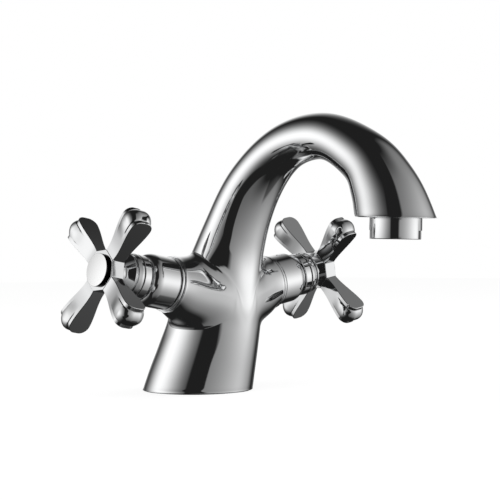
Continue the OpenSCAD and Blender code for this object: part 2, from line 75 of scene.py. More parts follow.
# Forward distance and height of the point where the two valve axes meet
ARM_Y = 18.2
ARM_Z = 50.9
WHITE = (1.0, 1.0, 1.0, 1.0)
Spot = tuple[float, float]


class Side(Enum):
    """The two valves: hot on -X, cold on +X."""

    HOT = -1
    COLD = 1

    @property
    def label(self) -> str:
        """Word that starts the names of this side's pieces."""
        return self.name.lower()

    @property
    def body(self) -> str:
        """Name of the turning body on this side."""
        return f"{self.label}_lever"


def blend(a: float, b: float, t: float) -> float:
    """Value between a and b at share t."""
    return a + (b - a) * t


def ease(t: float) -> float:
    """Smooth step from 0 to 1."""
    t = min(max(t, 0.0), 1.0)
    return t * t * (3 - 2 * t)


def unit(degrees: float) -> Spot:
    """Cosine and sine of an angle in degrees."""
    return math.cos(math.radians(degrees)), math.sin(math.radians(degrees))


def settle(obj: Object) -> None:
    """Applies every modifier of an object to its mesh.

    Args:
        obj: The object whose modifiers are live.
    """
    graph = bpy.context.evaluated_depsgraph_get()
    shaped = bpy.data.meshes.new_from_object(obj.evaluated_get(graph))
    plain = obj.data
    obj.modifiers.clear()
    obj.data = shaped
    bpy.data.meshes.remove(plain)


def to_object(bm: BMesh, name: str) -> Object:
    """Writes a closed bmesh to a new object, with its faces outward.

    Args:
        bm: The bmesh, which is freed.
        name: Name of the object and its mesh.

    Returns:
        The linked object, in the same unit.
    """
    bmesh.ops.recalc_face_normals(bm, faces=bm.faces)
    if bm.calc_volume(signed=True) < 0:
        bmesh.ops.reverse_faces(bm, faces=bm.faces)
    mesh = bpy.data.meshes.new(name)
    bm.to_mesh(mesh)
    bm.free()
    obj = bpy.data.objects.new(name, mesh)
    bpy.context.scene.collection.objects.link(obj)
    return obj


def combine(base: Object, other: Object, how: str = "DIFFERENCE") -> None:
    """Cuts or joins a closed solid with another and removes the other.

    Args:
        base: The solid that stays.
        other: The solid that is used up.
        how: UNION or DIFFERENCE.
    """
    step = base.modifiers.new("solid", "BOOLEAN")
    step.operation = how
    step.solver = "MANIFOLD"
    step.object = other
    bpy.context.view_layer.update()
    settle(base)
    spent = other.data
    bpy.data.objects.remove(other)
    bpy.data.meshes.remove(spent)


def finish_piece(
    obj: Object,
    body: str,
    finish: Material,
    node: str,
    crease: float = 40.0,
    crisp: bool = False,
) -> Object:
    """Brings a piece to metres, shades it and ties it to the frame.

    Args:
        obj: The piece in millimetres.
        body: Body that carries it.
        finish: Its material.
        node: Node that it stands for.
        crease: Angle in degrees past which an edge stays sharp.
        crisp: Whether large faces keep their own direction up to their rounded edges.

    Returns:
        The finished piece.
    """
    bm = bmesh.new()
    bm.from_mesh(obj.data)
    bmesh.ops.remove_doubles(bm, verts=bm.verts, dist=0.002)
    bmesh.ops.scale(bm, vec=Vector((MM, MM, MM)), verts=bm.verts)
    for face in bm.faces:
        face.smooth = True
    bm.to_mesh(obj.data)
    bm.free()
    obj.data.set_sharp_from_angle(angle=math.radians(crease))
    if crisp:
        even = obj.modifiers.new("even", "WEIGHTED_NORMAL")
        even.mode = "FACE_AREA"
        even.weight = 80
        even.keep_sharp = True
        bpy.context.view_layer.update()
        settle(obj)
    obj.data.materials.clear()
    obj.data.materials.append(finish)
    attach(obj, body)
    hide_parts(node)
    return obj


def ring_edges(bm: BMesh, ring: list[BMVert]) -> list[BMEdge]:
    """Edges between the neighbours in a closed ring of vertices, in order."""
    return [bm.edges.get(pair) for pair in zip(ring, ring[1:] + ring[:1])]


def extrude_ring(bm: BMesh, ring: list[BMVert], places: list[Vector]) -> list[BMVert]:
    """Extrudes a closed ring of vertices and puts the new ones at their places.

    Args:
        bm: The mesh.
        ring: The ring's vertices in order.
        places: Place of each new vertex, in the same order.

    Returns:
        The new ring, in the same order.
    """
    made = set(bmesh.ops.extrude_edge_only(bm, edges=ring_edges(bm, ring))["geom"])
    grown: list[BMVert] = []
    for old, place in zip(ring, places):
        new = next(v for v in (e.other_vert(old) for e in old.link_edges) if v in made)
        new.co = place
        grown.append(new)
    return grown


def close_ring(bm: BMesh, edges: list[BMEdge]) -> None:
    """Closes a ring of edges with one flat face."""
    bmesh.ops.contextual_create(bm, geom=edges)


def turn_mesh(bm: BMesh, degrees: float, axis: str = "Z") -> None:
    """Turns a mesh about one axis through the origin."""
    turn = Matrix.Rotation(math.radians(degrees), 3, axis)
    bmesh.ops.rotate(bm, cent=(0, 0, 0), matrix=turn, verts=bm.verts)


def cylinder(r: float, depth: float, segments: int, middle: tuple[float, float, float]) -> BMesh:
    """Makes a closed cylinder along Z.

    Args:
        r: Its radius.
        depth: Its length.
        segments: How many flat sides it has.
        middle: Where its middle lies.

    Returns:
        Its mesh.
    """
    bm = bmesh.new()
    bmesh.ops.create_cone(bm, cap_ends=True, segments=segments, radius1=r, radius2=r, depth=depth)
    bmesh.ops.translate(bm, vec=middle, verts=bm.verts)
    return bm


def limit_place(vert: BMVert) -> Vector:
    """Where a vertex comes to lie once its mesh is subdivided without end.

    Args:
        vert: A vertex of a closed mesh.

    Returns:
        Its place on the limit surface.
    """
    count = len(vert.link_edges)
    centres = {face: face.calc_center_median() for face in vert.link_faces}
    middle = sum(centres.values(), Vector()) / count
    halves = sum(((e.verts[0].co + e.verts[1].co) / 2 for e in vert.link_edges), Vector()) / count
    moved = (middle + 2 * halves + (count - 3) * vert.co) / count
    spokes = Vector()
    for edge in vert.link_edges:
        ends = edge.verts[0].co + edge.verts[1].co
        spokes += (ends + sum((centres[f] for f in edge.link_faces), Vector())) / 4
    return (count * count * moved + 4 * spokes + middle * count) / (count * (count + 5))


def fit_cage(bm: BMesh, rounds: int = 12) -> None:
    """Moves a cage's vertices so that the subdivided surface passes through where they stood.

    Args:
        bm: A closed cage whose vertices stand on the wanted surface.
        rounds: How often the remaining error is taken back.
    """
    verts = list(bm.verts)
    wanted = [v.co.copy() for v in verts]
    for _ in range(rounds):
        errors = [goal - limit_place(v) for v, goal in zip(verts, wanted)]
        for vert, error in zip(verts, errors):
            vert.co = vert.co + error


@dataclass(frozen=True)
class Corner:
    """One corner of a turned outline, with the radius that rounds it."""

    r: float
    s: float
    soft: float = 0.0


@dataclass(frozen=True)
class Turning:
    """A shape turned about +Z from an outline of corners."""

    corners: tuple[Corner, ...]
    hollow: bool = False
    segments: int = 128
    arc_steps: int = 5

    def outline(self) -> list[Spot]:
        """Points of the outline with its corners rounded.

        Returns:
            Radius and distance of each point.
        """
        points: list[Spot] = []
        count = len(self.corners)
        for k, corner in enumerate(self.corners):
            at_end = not self.hollow and k in (0, count - 1)
            if corner.soft <= 0 or at_end:
                points.append((corner.r, corner.s))
                continue
            here = Vector((corner.r, corner.s))
            before = self.corners[k - 1]
            after = self.corners[(k + 1) % count]
            back = (Vector((before.r, before.s)) - here).normalized()
            ahead = (Vector((after.r, after.s)) - here).normalized()
            turn = math.pi - back.angle(ahead)
            reach = corner.soft * math.tan(turn / 2)
            centre = here + (back + ahead).normalized() * (corner.soft / math.cos(turn / 2))
            start = (here + back * reach - centre).normalized()
            end = (here + ahead * reach - centre).normalized()
            for step in range(self.arc_steps + 1):
                place = centre + start.slerp(end, step / self.arc_steps) * corner.soft
                points.append((place.x, place.y))
        return points

    def solid(self, name: str, place: Matrix | None = None) -> Object:
        """Spins the outline into a closed solid.

        Args:
            name: Name of the object.
            place: Transform from the shape's own frame, or none.

        Returns:
            The object in millimetres.
        """
        bm = bmesh.new()
        verts = [bm.verts.new((r, 0.0, s)) for r, s in self.outline()]
        edges = [bm.edges.new(pair) for pair in zip(verts, verts[1:])]
        if self.hollow:
            edges.append(bm.edges.new((verts[-1], verts[0])))
        bmesh.ops.spin(
            bm,
            geom=verts + edges,
            axis=(0, 0, 1),
            angle=math.tau,
            steps=self.segments,
            use_merge=True,
        )
        bmesh.ops.remove_doubles(bm, verts=bm.verts, dist=0.0005)
        bmesh.ops.recalc_face_normals(bm, faces=bm.faces)
        if place is not None:
            bmesh.ops.transform(bm, matrix=place, verts=bm.verts)
        return to_object(bm, name)


@dataclass(frozen=True)
class SwanNeck:
    """Centre line and diameters of the body from the base to the outlet."""

    base_d: float = 58.5
    foot_d: float = 55.7
    waist_d: float = 50.5
    shoulder_d: float = 45.1
    neck_d: float = 34.3
    rise_d: float = 29.3
    bend_d: float = 24.6
    crown_d: float = 22.5
    flare_d: float = 26.0
    nose_d: float = 31.4
    outlet_d: float = 37.0
    reach: float = 142.5
    outlet_z: float = 87.5
    outlet_tilt: float = 2.0
    crown_y: float = 98.0
    crown_z: float = 127.8
    neck_wide: float = 1.062
    neck_deep: float = 0.885
    oval_from: float = 2.9
    oval_rise: float = 0.9
    oval_until: float = 5.2
    oval_fall: float = 1.8

    def stations(self) -> list[Vector]:
        """Main sections from the base to the outlet.

        Returns:
            Forward distance, height, diameter and tilt of each.
        """
        run, rise = self.crown_y - ARM_Y, self.crown_z - ARM_Z
        ahead, drop = self.reach - self.crown_y, self.crown_z - self.outlet_z
        return [
            Vector((0, 0, self.base_d, 0)),
            Vector((0.23 * ARM_Y, 0.216 * ARM_Z, self.foot_d, 2.5)),
            Vector((0.628 * ARM_Y, 0.566 * ARM_Z, self.waist_d, 7)),
            Vector((ARM_Y + 0.7, ARM_Z - 0.2, self.shoulder_d, 16)),
            Vector((ARM_Y + 0.149 * run, ARM_Z + 0.391 * rise, self.neck_d, 27)),
            Vector((ARM_Y + 0.361 * run, ARM_Z + 0.737 * rise, self.rise_d, 39)),
            Vector((ARM_Y + 0.652 * run, ARM_Z + 0.957 * rise, self.bend_d, 67)),
            Vector((self.crown_y, self.crown_z, self.crown_d, 102)),
            Vector((self.crown_y + 0.562 * ahead, self.crown_z - 0.285 * drop, self.flare_d, 125)),
            Vector((self.crown_y + 0.836 * ahead, self.crown_z - 0.634 * drop, self.nose_d, 152)),
            Vector((self.reach, self.outlet_z, self.outlet_d, 180 + self.outlet_tilt)),
        ]

    def section(self, t: float) -> Vector:
        """Section at station number t, on a smooth curve through the stations.

        Args:
            t: Station number, with a fraction between two stations.

        Returns:
            Forward distance, height, diameter and tilt.
        """
        rows = self.stations()
        last = len(rows) - 1
        i = min(max(int(math.floor(t)), 0), last - 1)
        before = rows[i - 1] if i > 0 else 2 * rows[0] - rows[1]
        after = rows[i + 2] if i + 2 <= last else 2 * rows[last] - rows[last - 1]
        b, c = rows[i], rows[i + 1]
        u = t - i
        return (
            2 * b
            + (c - before) * u
            + (2 * before - 5 * b + 4 * c - after) * u * u
            + (3 * b - before - 3 * c + after) * u * u * u
        ) / 2

    def point(self, t: float, angle: float, inset: float = 0.0) -> Vector:
        """Point on the outside of the body.

        Args:
            t: Station number.
            angle: Degrees round the section, 0 on the cold side and 90 at the back of the base.
            inset: How far the point lies inside the skin.

        Returns:
            The point in millimetres.
        """
        forward, height, diameter, tilt = self.section(t)
        oval = ease((t - self.oval_from) / self.oval_rise)
        oval *= 1 - ease((t - self.oval_until) / self.oval_fall)
        wide = diameter / 2 * blend(1.0, self.neck_wide, oval) - inset
        deep = diameter / 2 * blend(1.0, self.neck_deep, oval) - inset
        c, s = unit(angle)
        level, upright = unit(tilt)
        return Vector((wide * c, -forward + deep * s * level, height + deep * s * upright))

    def outlet(self) -> Matrix:
        """Transform from the outlet's frame, with +Z up the waterway, to the object's."""
        tilt = Matrix.Rotation(math.radians(self.outlet_tilt), 4, "X")
        return Matrix.Translation((0, -self.reach, self.outlet_z)) @ tilt


@dataclass(frozen=True)
class ValveAxis:
    """Frame of one valve: +Z runs along the arm, away from the body."""

    side: Side
    arm_rise: float = 10.0

    def matrix(self) -> Matrix:
        """Transform from the valve's own frame to the object's."""
        turn = math.radians(self.side.value * (90 - self.arm_rise))
        return Matrix.Translation((0, -ARM_Y, ARM_Z)) @ Matrix.Rotation(turn, 4, "Y")

    def _spokes(self) -> tuple[Vector, Vector]:
        """Direction along the arm and the one upwards across it."""
        c, s = unit(self.arm_rise)
        return Vector((self.side.value * c, 0, s)), Vector((-self.side.value * s, 0, c))

    def across(self, u: float, v: float, s: float) -> Vector:
        """Point at u backwards and v upwards from the axis, s along it."""
        out, up = self._spokes()
        return Vector((0, -ARM_Y, ARM_Z)) + out * s + up * v + Vector((0, u, 0))

    def flat(self, point: Vector) -> Spot:
        """How far a point lies backwards and upwards from the axis."""
        gone = point - Vector((0, -ARM_Y, ARM_Z))
        return gone.y, gone.dot(self._spokes()[1])


@dataclass
class CastBody:
    """The one-piece body: base, column, swan neck and the two flared arms.

    The values for up, down and side of slope, pull and land say how steeply the flare leaves the
    arm, how strongly it does so, and how strongly it meets the column.
    """

    neck: SwanNeck
    chrome: Material
    columns: int = 20
    low_levels: tuple[float, ...] = (0.11, 0.26, 0.5, 0.85, 1.2, 1.55, 1.88)
    patch_half: int = 3
    patch_low: float = 2.2
    patch_high: float = 3.7
    patch_rows: int = 6
    neck_steps: int = 24
    neck_end: float = 9.78
    base_round: float = 1.1
    lip_span: float = 16.5
    lip_front: float = 0.5
    lip_rear: float = 2.0
    arm_r: float = 14.5
    arm_len: float = 34.4
    arm_edge: float = 0.6
    arm_plain: float = 1.9
    root_up: float = 19.5
    root_down: float = 22.0
    root_side: float = 21.8
    square_up: float = 2.0
    square_down: float = 2.8
    slope: tuple[float, float, float] = (12.0, 36.0, 12.0)
    pull: tuple[float, float, float] = (0.6, 1.6, 1.0)
    land: tuple[float, float, float] = (0.9, 0.9, 1.0)
    rim_turn: float = -135.0
    flare_shares: tuple[float, ...] = (0.93, 0.82, 0.67, 0.5, 0.32, 0.14)
    foot_rounds: int = 20
    relax_reach: int = 4
    relax_rounds: int = 60
    cavity_h: float = 20.0
    rim_w: float = 6.5
    cavity_lean: float = 19.0
    seal_d: float = 2.6
    thread_len: float = 12.0
    threads: tuple[tuple[float, float, float], ...] = ((-8, -8, 5), (8, -8, 5), (0, 6, 4))
    valve_bore_r: float = 10.45
    valve_bore_from: float = 23.0
    seat_r: float = 11.3
    seat_deep: float = 0.9
    nipple_r: float = 10.9
    nipple_len: float = 5.2
    nozzle_r: float = 8.6
    grid: list[list[BMVert]] = field(init=False, default_factory=list)
    places: dict[BMVert, Spot] = field(init=False, default_factory=dict)

    def build(self) -> Object:
        """Makes the body as one smooth shell with its hollows cut in.

        Returns:
            The finished piece.
        """
        obj = to_object(self._cage(), "cast_body")
        smooth = obj.modifiers.new("smooth", "SUBSURF")
        smooth.levels = 3
        smooth.render_levels = 3
        settle(obj)
        self._cut_hollows(obj)
        return finish_piece(obj, "tap", self.chrome, "body")

    def _cage(self) -> BMesh:
        """Builds the control cage ring by ring, then the two arms.

        Returns:
            The closed cage.
        """
        bm = bmesh.new()
        angles = [360.0 / self.columns * k for k in range(self.columns)]
        foot_r = self.neck.base_d / 2
        ring = bmesh.ops.create_circle(
            bm, cap_ends=True, segments=self.columns, radius=foot_r
        )["verts"]
        ring.sort(key=lambda v: math.atan2(v.co.y, v.co.x) % math.tau)
        foot, *rounded = (
            [Vector((r * c, r * s, height * self.base_round)) for c, s in map(unit, angles)]
            for r, height in (
                (foot_r - 2.6 * self.base_round, 0.0),
                (foot_r - 1.15 * self.base_round, 0.0),
                (foot_r - 0.28 * self.base_round, 0.3),
            )
        )
        for vert, place in zip(ring, foot):
            vert.co = place
        for places in rounded:
            ring = extrude_ring(bm, ring, places)
        patch_step = (self.patch_high - self.patch_low) / self.patch_rows
        neck_shares = [k / self.neck_steps for k in range(1, self.neck_steps + 1)]
        levels = [
            *self.low_levels,
            *(self.patch_low + k * patch_step for k in range(self.patch_rows + 1)),
            *(blend(self.patch_high, self.neck_end, share) for share in neck_shares),
        ]
        for t in levels:
            ring = extrude_ring(bm, ring, [self.neck.point(t, a) for a in angles])
            self.places.update((vert, (t, a)) for vert, a in zip(ring, angles))
            self.grid.append(ring)
        self._outlet_lip(bm, ring, angles)
        for side in Side:
            self._arm(bm, side)
        fit_cage(bm)
        return bm

    def _outlet_lip(self, bm: BMesh, ring: list[BMVert], angles: list[float]) -> None:
        """Rounds the skin over into the flat outlet face and closes it.

        Args:
            bm: The cage.
            ring: Its open ring above the outlet.
            angles: Degrees round the section of each column.
        """
        last = len(self.neck.stations()) - 1
        shares = [((1 - unit(a)[1]) / 2) ** 2 for a in angles]
        lips = [blend(self.lip_front, self.lip_rear, share) for share in shares]
        for above, inset in ((1.0, 0.0), (0.28, 0.28), (0.0, 1.0), (0.0, 1.9)):
            places = [
                self.neck.point(last - lip * above / self.lip_span, a, lip * inset)
                for lip, a in zip(lips, angles)
            ]
            ring = extrude_ring(bm, ring, places)
        close_ring(bm, ring_edges(bm, ring))

    def _arm(self, bm: BMesh, side: Side) -> None:
        """Opens the column at one side and grows the flared arm from it.

        Args:
            bm: The cage.
            side: Which arm.
        """
        axis = ValveAxis(side)
        half = self.patch_half
        low = len(self.low_levels)
        high = low + self.patch_rows
        middle = 0 if side is Side.COLD else self.columns // 2

        def at(row: int, k: int) -> BMVert:
            """Vertex of the column, k columns from the middle of the arm."""
            return self.grid[row][(middle + side.value * k) % self.columns]

        rim = (
            [at(low, k) for k in range(-half, half)]
            + [at(row, half) for row in range(low, high)]
            + [at(high, k) for k in range(half, -half, -1)]
            + [at(row, -half) for row in range(high, low, -1)]
        )
        inside = {at(row, k) for row in range(low, high + 1) for k in range(-half, half + 1)}
        doomed = [face for face in bm.faces if inside.issuperset(face.verts)]
        bmesh.ops.delete(bm, geom=doomed, context="FACES")
        around = [self.rim_turn + 360.0 * k / len(rim) for k in range(len(rim))]
        for vert, phi in zip(rim, around):
            self.places[vert] = self._foot_place(axis, self.places[vert], phi)
        self._relax(set(rim), low, high, middle)
        feet = [self.places[vert] for vert in rim]
        ring = rim
        for share in self.flare_shares:
            places = [self._flare(axis, foot, phi, share) for foot, phi in zip(feet, around)]
            ring = extrude_ring(bm, ring, places)
        edge = self.arm_edge
        for back, inset in (
            (1.6, -0.03),
            (edge, 0.0),
            (0.25 * edge, 0.25 * edge),
            (0.0, edge),
            (0.0, 2.2 * edge),
        ):
            r, along = self.arm_r - inset, self.arm_len - back
            places = [axis.across(r * c, r * s, along) for c, s in map(unit, around)]
            ring = extrude_ring(bm, ring, places)
        close_ring(bm, ring_edges(bm, ring))

    def _foot_place(self, axis: ValveAxis, guess: Spot, phi: float) -> Spot:
        """Finds where the flare's foot lies on the column in one direction.

        Args:
            axis: The valve's frame.
            guess: Station number and angle to start from.
            phi: Degrees round the valve axis.

        Returns:
            Station number and angle on the column.
        """
        c, s = unit(phi)
        tall, n = (self.root_up, self.square_up) if s > 0 else (self.root_down, self.square_down)
        r = (abs(c / self.root_side) ** n + abs(s / tall) ** n) ** (-1 / n)
        t, a = guess
        step_t, step_a = 0.01, 1.0
        most_t, most_a = 0.3, 15.0
        for _ in range(self.foot_rounds):
            u, v = axis.flat(self.neck.point(t, a))
            ut, vt = axis.flat(self.neck.point(t + step_t, a))
            ua, va = axis.flat(self.neck.point(t, a + step_a))
            slope = Matrix(
                (((ut - u) / step_t, (ua - u) / step_a), ((vt - v) / step_t, (va - v) / step_a))
            )
            if abs(slope.determinant()) < 1e-9:
                break
            move = slope.inverted() @ (Vector((r * c, r * s)) - Vector((u, v)))
            t += max(-most_t, min(most_t, move.x))
            a += max(-most_a, min(most_a, move.y))
        return t, a

    def _relax(self, rim: set[BMVert], low: int, high: int, middle: int) -> None:
        """Spreads the column's vertices evenly round the flare's foot.

        Args:
            rim: The vertices on the foot, which stay.
            low: Row where the opening starts.
            high: Row where it ends.
            middle: Column in the middle of the arm.
        """
        count = self.columns
        loose: list[tuple[int, int]] = []
        for row in range(max(low - self.relax_reach, 1), high + self.relax_reach + 1):
            for k in range(1 - count // 4, count // 4):
                vert = self.grid[row][(middle + k) % count]
                if vert.is_valid and vert not in rim:
                    loose.append((row, (middle + k) % count))
        for _ in range(self.relax_rounds):
            fresh: dict[BMVert, Spot] = {}
            for row, k in loose:
                here = self.grid[row][k]
                t, a = self.places[here]
                around = (row - 1, k), (row + 1, k), (row, (k - 1) % count), (row, (k + 1) % count)
                near = [self.grid[i][j] for i, j in around]
                spots = [self.places[v] for v in near if v.is_valid]
                mean_t = sum(spot[0] for spot in spots) / len(spots)
                turn = sum(((spot[1] - a + 180) % 360) - 180 for spot in spots) / len(spots)
                fresh[here] = (blend(t, mean_t, 0.5), blend(a, a + turn, 0.5))
            self.places.update(fresh)
        for vert in {self.grid[row][k] for row, k in loose} | rim:
            vert.co = self.neck.point(*self.places[vert])

    def _flare(self, axis: ValveAxis, foot: Spot, phi: float, share: float) -> Vector:
        """Point on the flare between the column and the arm's round end.

        Args:
            axis: The valve's frame.
            foot: Station number and angle of the flare's foot.
            phi: Degrees round the valve axis.
            share: 1 at the foot and 0 where the arm is round.

        Returns:
            The point.
        """
        c, s = unit(phi)
        up, down = max(s, 0.0) ** 2, max(-s, 0.0) ** 2
        weights = (up, down, 1 - up - down)
        slope, pull, land = (
            sum(weight * value for weight, value in zip(weights, row))
            for row in (self.slope, self.pull, self.land)
        )
        origin = axis.across(0, 0, 0)
        radial = axis.across(c, s, 0) - origin
        inward = origin - axis.across(0, 0, 1)
        start = axis.across(self.arm_r * c, self.arm_r * s, self.arm_len - self.arm_plain)
        along, outward = unit(slope)
        leave = inward * along + radial * outward
        t, a = foot
        end = self.neck.point(t, a)
        by_t, by_a = self.neck.point(t + 0.01, a) - end, self.neck.point(t, a + 1.0) - end
        normal = by_t.cross(by_a).normalized()
        arrive = (radial - normal * radial.dot(normal)).normalized()
        size = (end - start).length
        u = share
        return (
            start * (2 * u**3 - 3 * u**2 + 1)
            + leave * size * pull * (u**3 - 2 * u**2 + u)
            + end * (3 * u**2 - 2 * u**3)
            + arrive * size * land * (u**3 - u**2)
        )

    def _base_hollow(self) -> BMesh:
        """Leaning round hollow of the base, cut off level above and below.

        Returns:
            Its closed mesh.
        """
        r = (self.neck.base_d / 2 - self.rim_w) * unit(self.cavity_lean)[0]
        bm = cylinder(r, 90, 96, (0, 0, 15))
        turn_mesh(bm, self.cavity_lean, "X")
        for height, normal in ((self.cavity_h, 1), (-1.0, -1)):
            cut = bmesh.ops.bisect_plane(
                bm,
                geom=bm.verts[:] + bm.edges[:] + bm.faces[:],
                plane_co=(0, 0, height),
                plane_no=(0, 0, normal),
                clear_outer=True,
            )["geom_cut"]
            close_ring(bm, [e for e in cut if isinstance(e, BMEdge)])
        return bm

    def _cut_hollows(self, obj: Object) -> None:
        """Cuts the base hollow, seal groove, threads, valve bores and outlet.

        Args:
            obj: The smooth solid body.
        """
        combine(obj, to_object(self._base_hollow(), "tool"))
        mid_r = self.neck.base_d / 2 - self.rim_w / 2
        wide = self.seal_d / 2 + 0.1
        groove = Turning(
            (
                Corner(mid_r - wide, -1),
                Corner(mid_r + wide, -1),
                Corner(mid_r + wide, self.seal_d + 0.1),
                Corner(mid_r - wide, self.seal_d + 0.1),
            ),
            hollow=True,
        )
        combine(obj, groove.solid("tool"))
        for x, y, r in self.threads:
            middle = (x, y, self.cavity_h + (self.thread_len - 1) / 2)
            combine(obj, to_object(cylinder(r, self.thread_len + 1, 48, middle), "tool"))
        seat = self.arm_len - self.seat_deep
        bore = Turning(
            (
                Corner(0, self.valve_bore_from),
                Corner(self.valve_bore_r, self.valve_bore_from),
                Corner(self.valve_bore_r, seat),
                Corner(self.seat_r, seat),
                Corner(self.seat_r, self.arm_len + 1),
                Corner(0, self.arm_len + 1),
            ),
            segments=96,
        )
        for side in Side:
            combine(obj, bore.solid("tool", ValveAxis(side).matrix()))
        bottom = -self.nipple_len
        nipple = Turning(
            (
                Corner(0, bottom),
                Corner(self.nipple_r - 0.5, bottom),
                Corner(self.nipple_r, bottom + 0.5),
                Corner(self.nipple_r, 2),
                Corner(0, 2),
            ),
            segments=96,
        )
        nozzle = Turning(
            (
                Corner(0, bottom - 1),
                Corner(self.nozzle_r, bottom - 1),
                Corner(self.nozzle_r, 10),
                Corner(0, 12),
            ),
            segments=96,
        )
        combine(obj, nipple.solid("tool", self.neck.outlet()), "UNION")
        combine(obj, nozzle.solid("tool", self.neck.outlet()))


@dataclass
class ValveTrim:
    """Trim ring and bonnet between an arm and its handle."""

    side: Side
    chrome: Material
    trim_from: float = 34.45
    trim_w: float = 2.3
    trim_r: float = 14.0
    trim_bore_r: float = 11.1
    groove_w: float = 0.7
    groove_deep: float = 1.8
    bonnet_from: float = 36.8
    bonnet_len: float = 15.4
    bonnet_r: float = 13.4
    dome_len: float = 5.0
    dome_steps: int = 14
    bead_r: float = 11.5
    bead_from: float = 53.6
    bead_to: float = 57.6
    collar_r: float = 9.0
    collar_end: float = 59.8
    wall: float = 1.3

    def build(self) -> list[Object]:
        """Makes the ring and the bonnet.

        Returns:
            Both pieces.
        """
        label = self.side.label
        made = []
        for shape, name, node in (
            (self._ring(), "ring", "trim_ring"),
            (self._bonnet(), "dome", "bonnet"),
        ):
            obj = shape.solid(f"{label}_{name}", ValveAxis(self.side).matrix())
            made.append(
                finish_piece(obj, "tap", self.chrome, f"{label}_{node}", crisp=True)
            )
        return made

    def _ring(self) -> Turning:
        """Thin ring with a groove next to the bonnet.

        Returns:
            Its shape.
        """
        start = self.trim_from
        end = start + self.trim_w
        floor_r = self.trim_r - self.groove_deep
        return Turning(
            (
                Corner(self.trim_bore_r, start),
                Corner(self.trim_r, start, 0.6),
                Corner(self.trim_r, end - self.groove_w, 0.3),
                Corner(floor_r, end - self.groove_w),
                Corner(floor_r, end),
                Corner(self.trim_bore_r, end),
            ),
            hollow=True,
        )

    def _bonnet(self) -> Turning:
        """Barrel, rounded dome and collar with its bead.

        Returns:
            Their shape.
        """
        dome_end = self.bonnet_from + self.bonnet_len
        shoulder = dome_end - self.dome_len
        drop = self.bonnet_r - self.collar_r - 0.5
        dome = []
        for k in range(self.dome_steps + 1):
            c, s = unit(90.0 * k / self.dome_steps)
            dome.append(Corner(self.bonnet_r - drop * (1 - c), shoulder + self.dome_len * s))
        return Turning(
            (
                Corner(self.bonnet_r - self.wall, self.bonnet_from),
                Corner(self.bonnet_r, self.bonnet_from, 0.4),
                *dome,
                Corner(self.collar_r, dome_end + 0.3),
                Corner(self.collar_r, self.bead_from),
                Corner(self.bead_r, self.bead_from, 0.35),
                Corner(self.bead_r, self.bead_to, 0.3),
                Corner(self.collar_r, self.bead_to),
                Corner(self.collar_r, self.collar_end, 0.3),
                Corner(self.collar_r - self.wall, self.collar_end),
                Corner(self.collar_r - self.wall, dome_end - 2),
                Corner(self.bonnet_r - self.wall, shoulder - 0.4),
            ),
            hollow=True,
        )


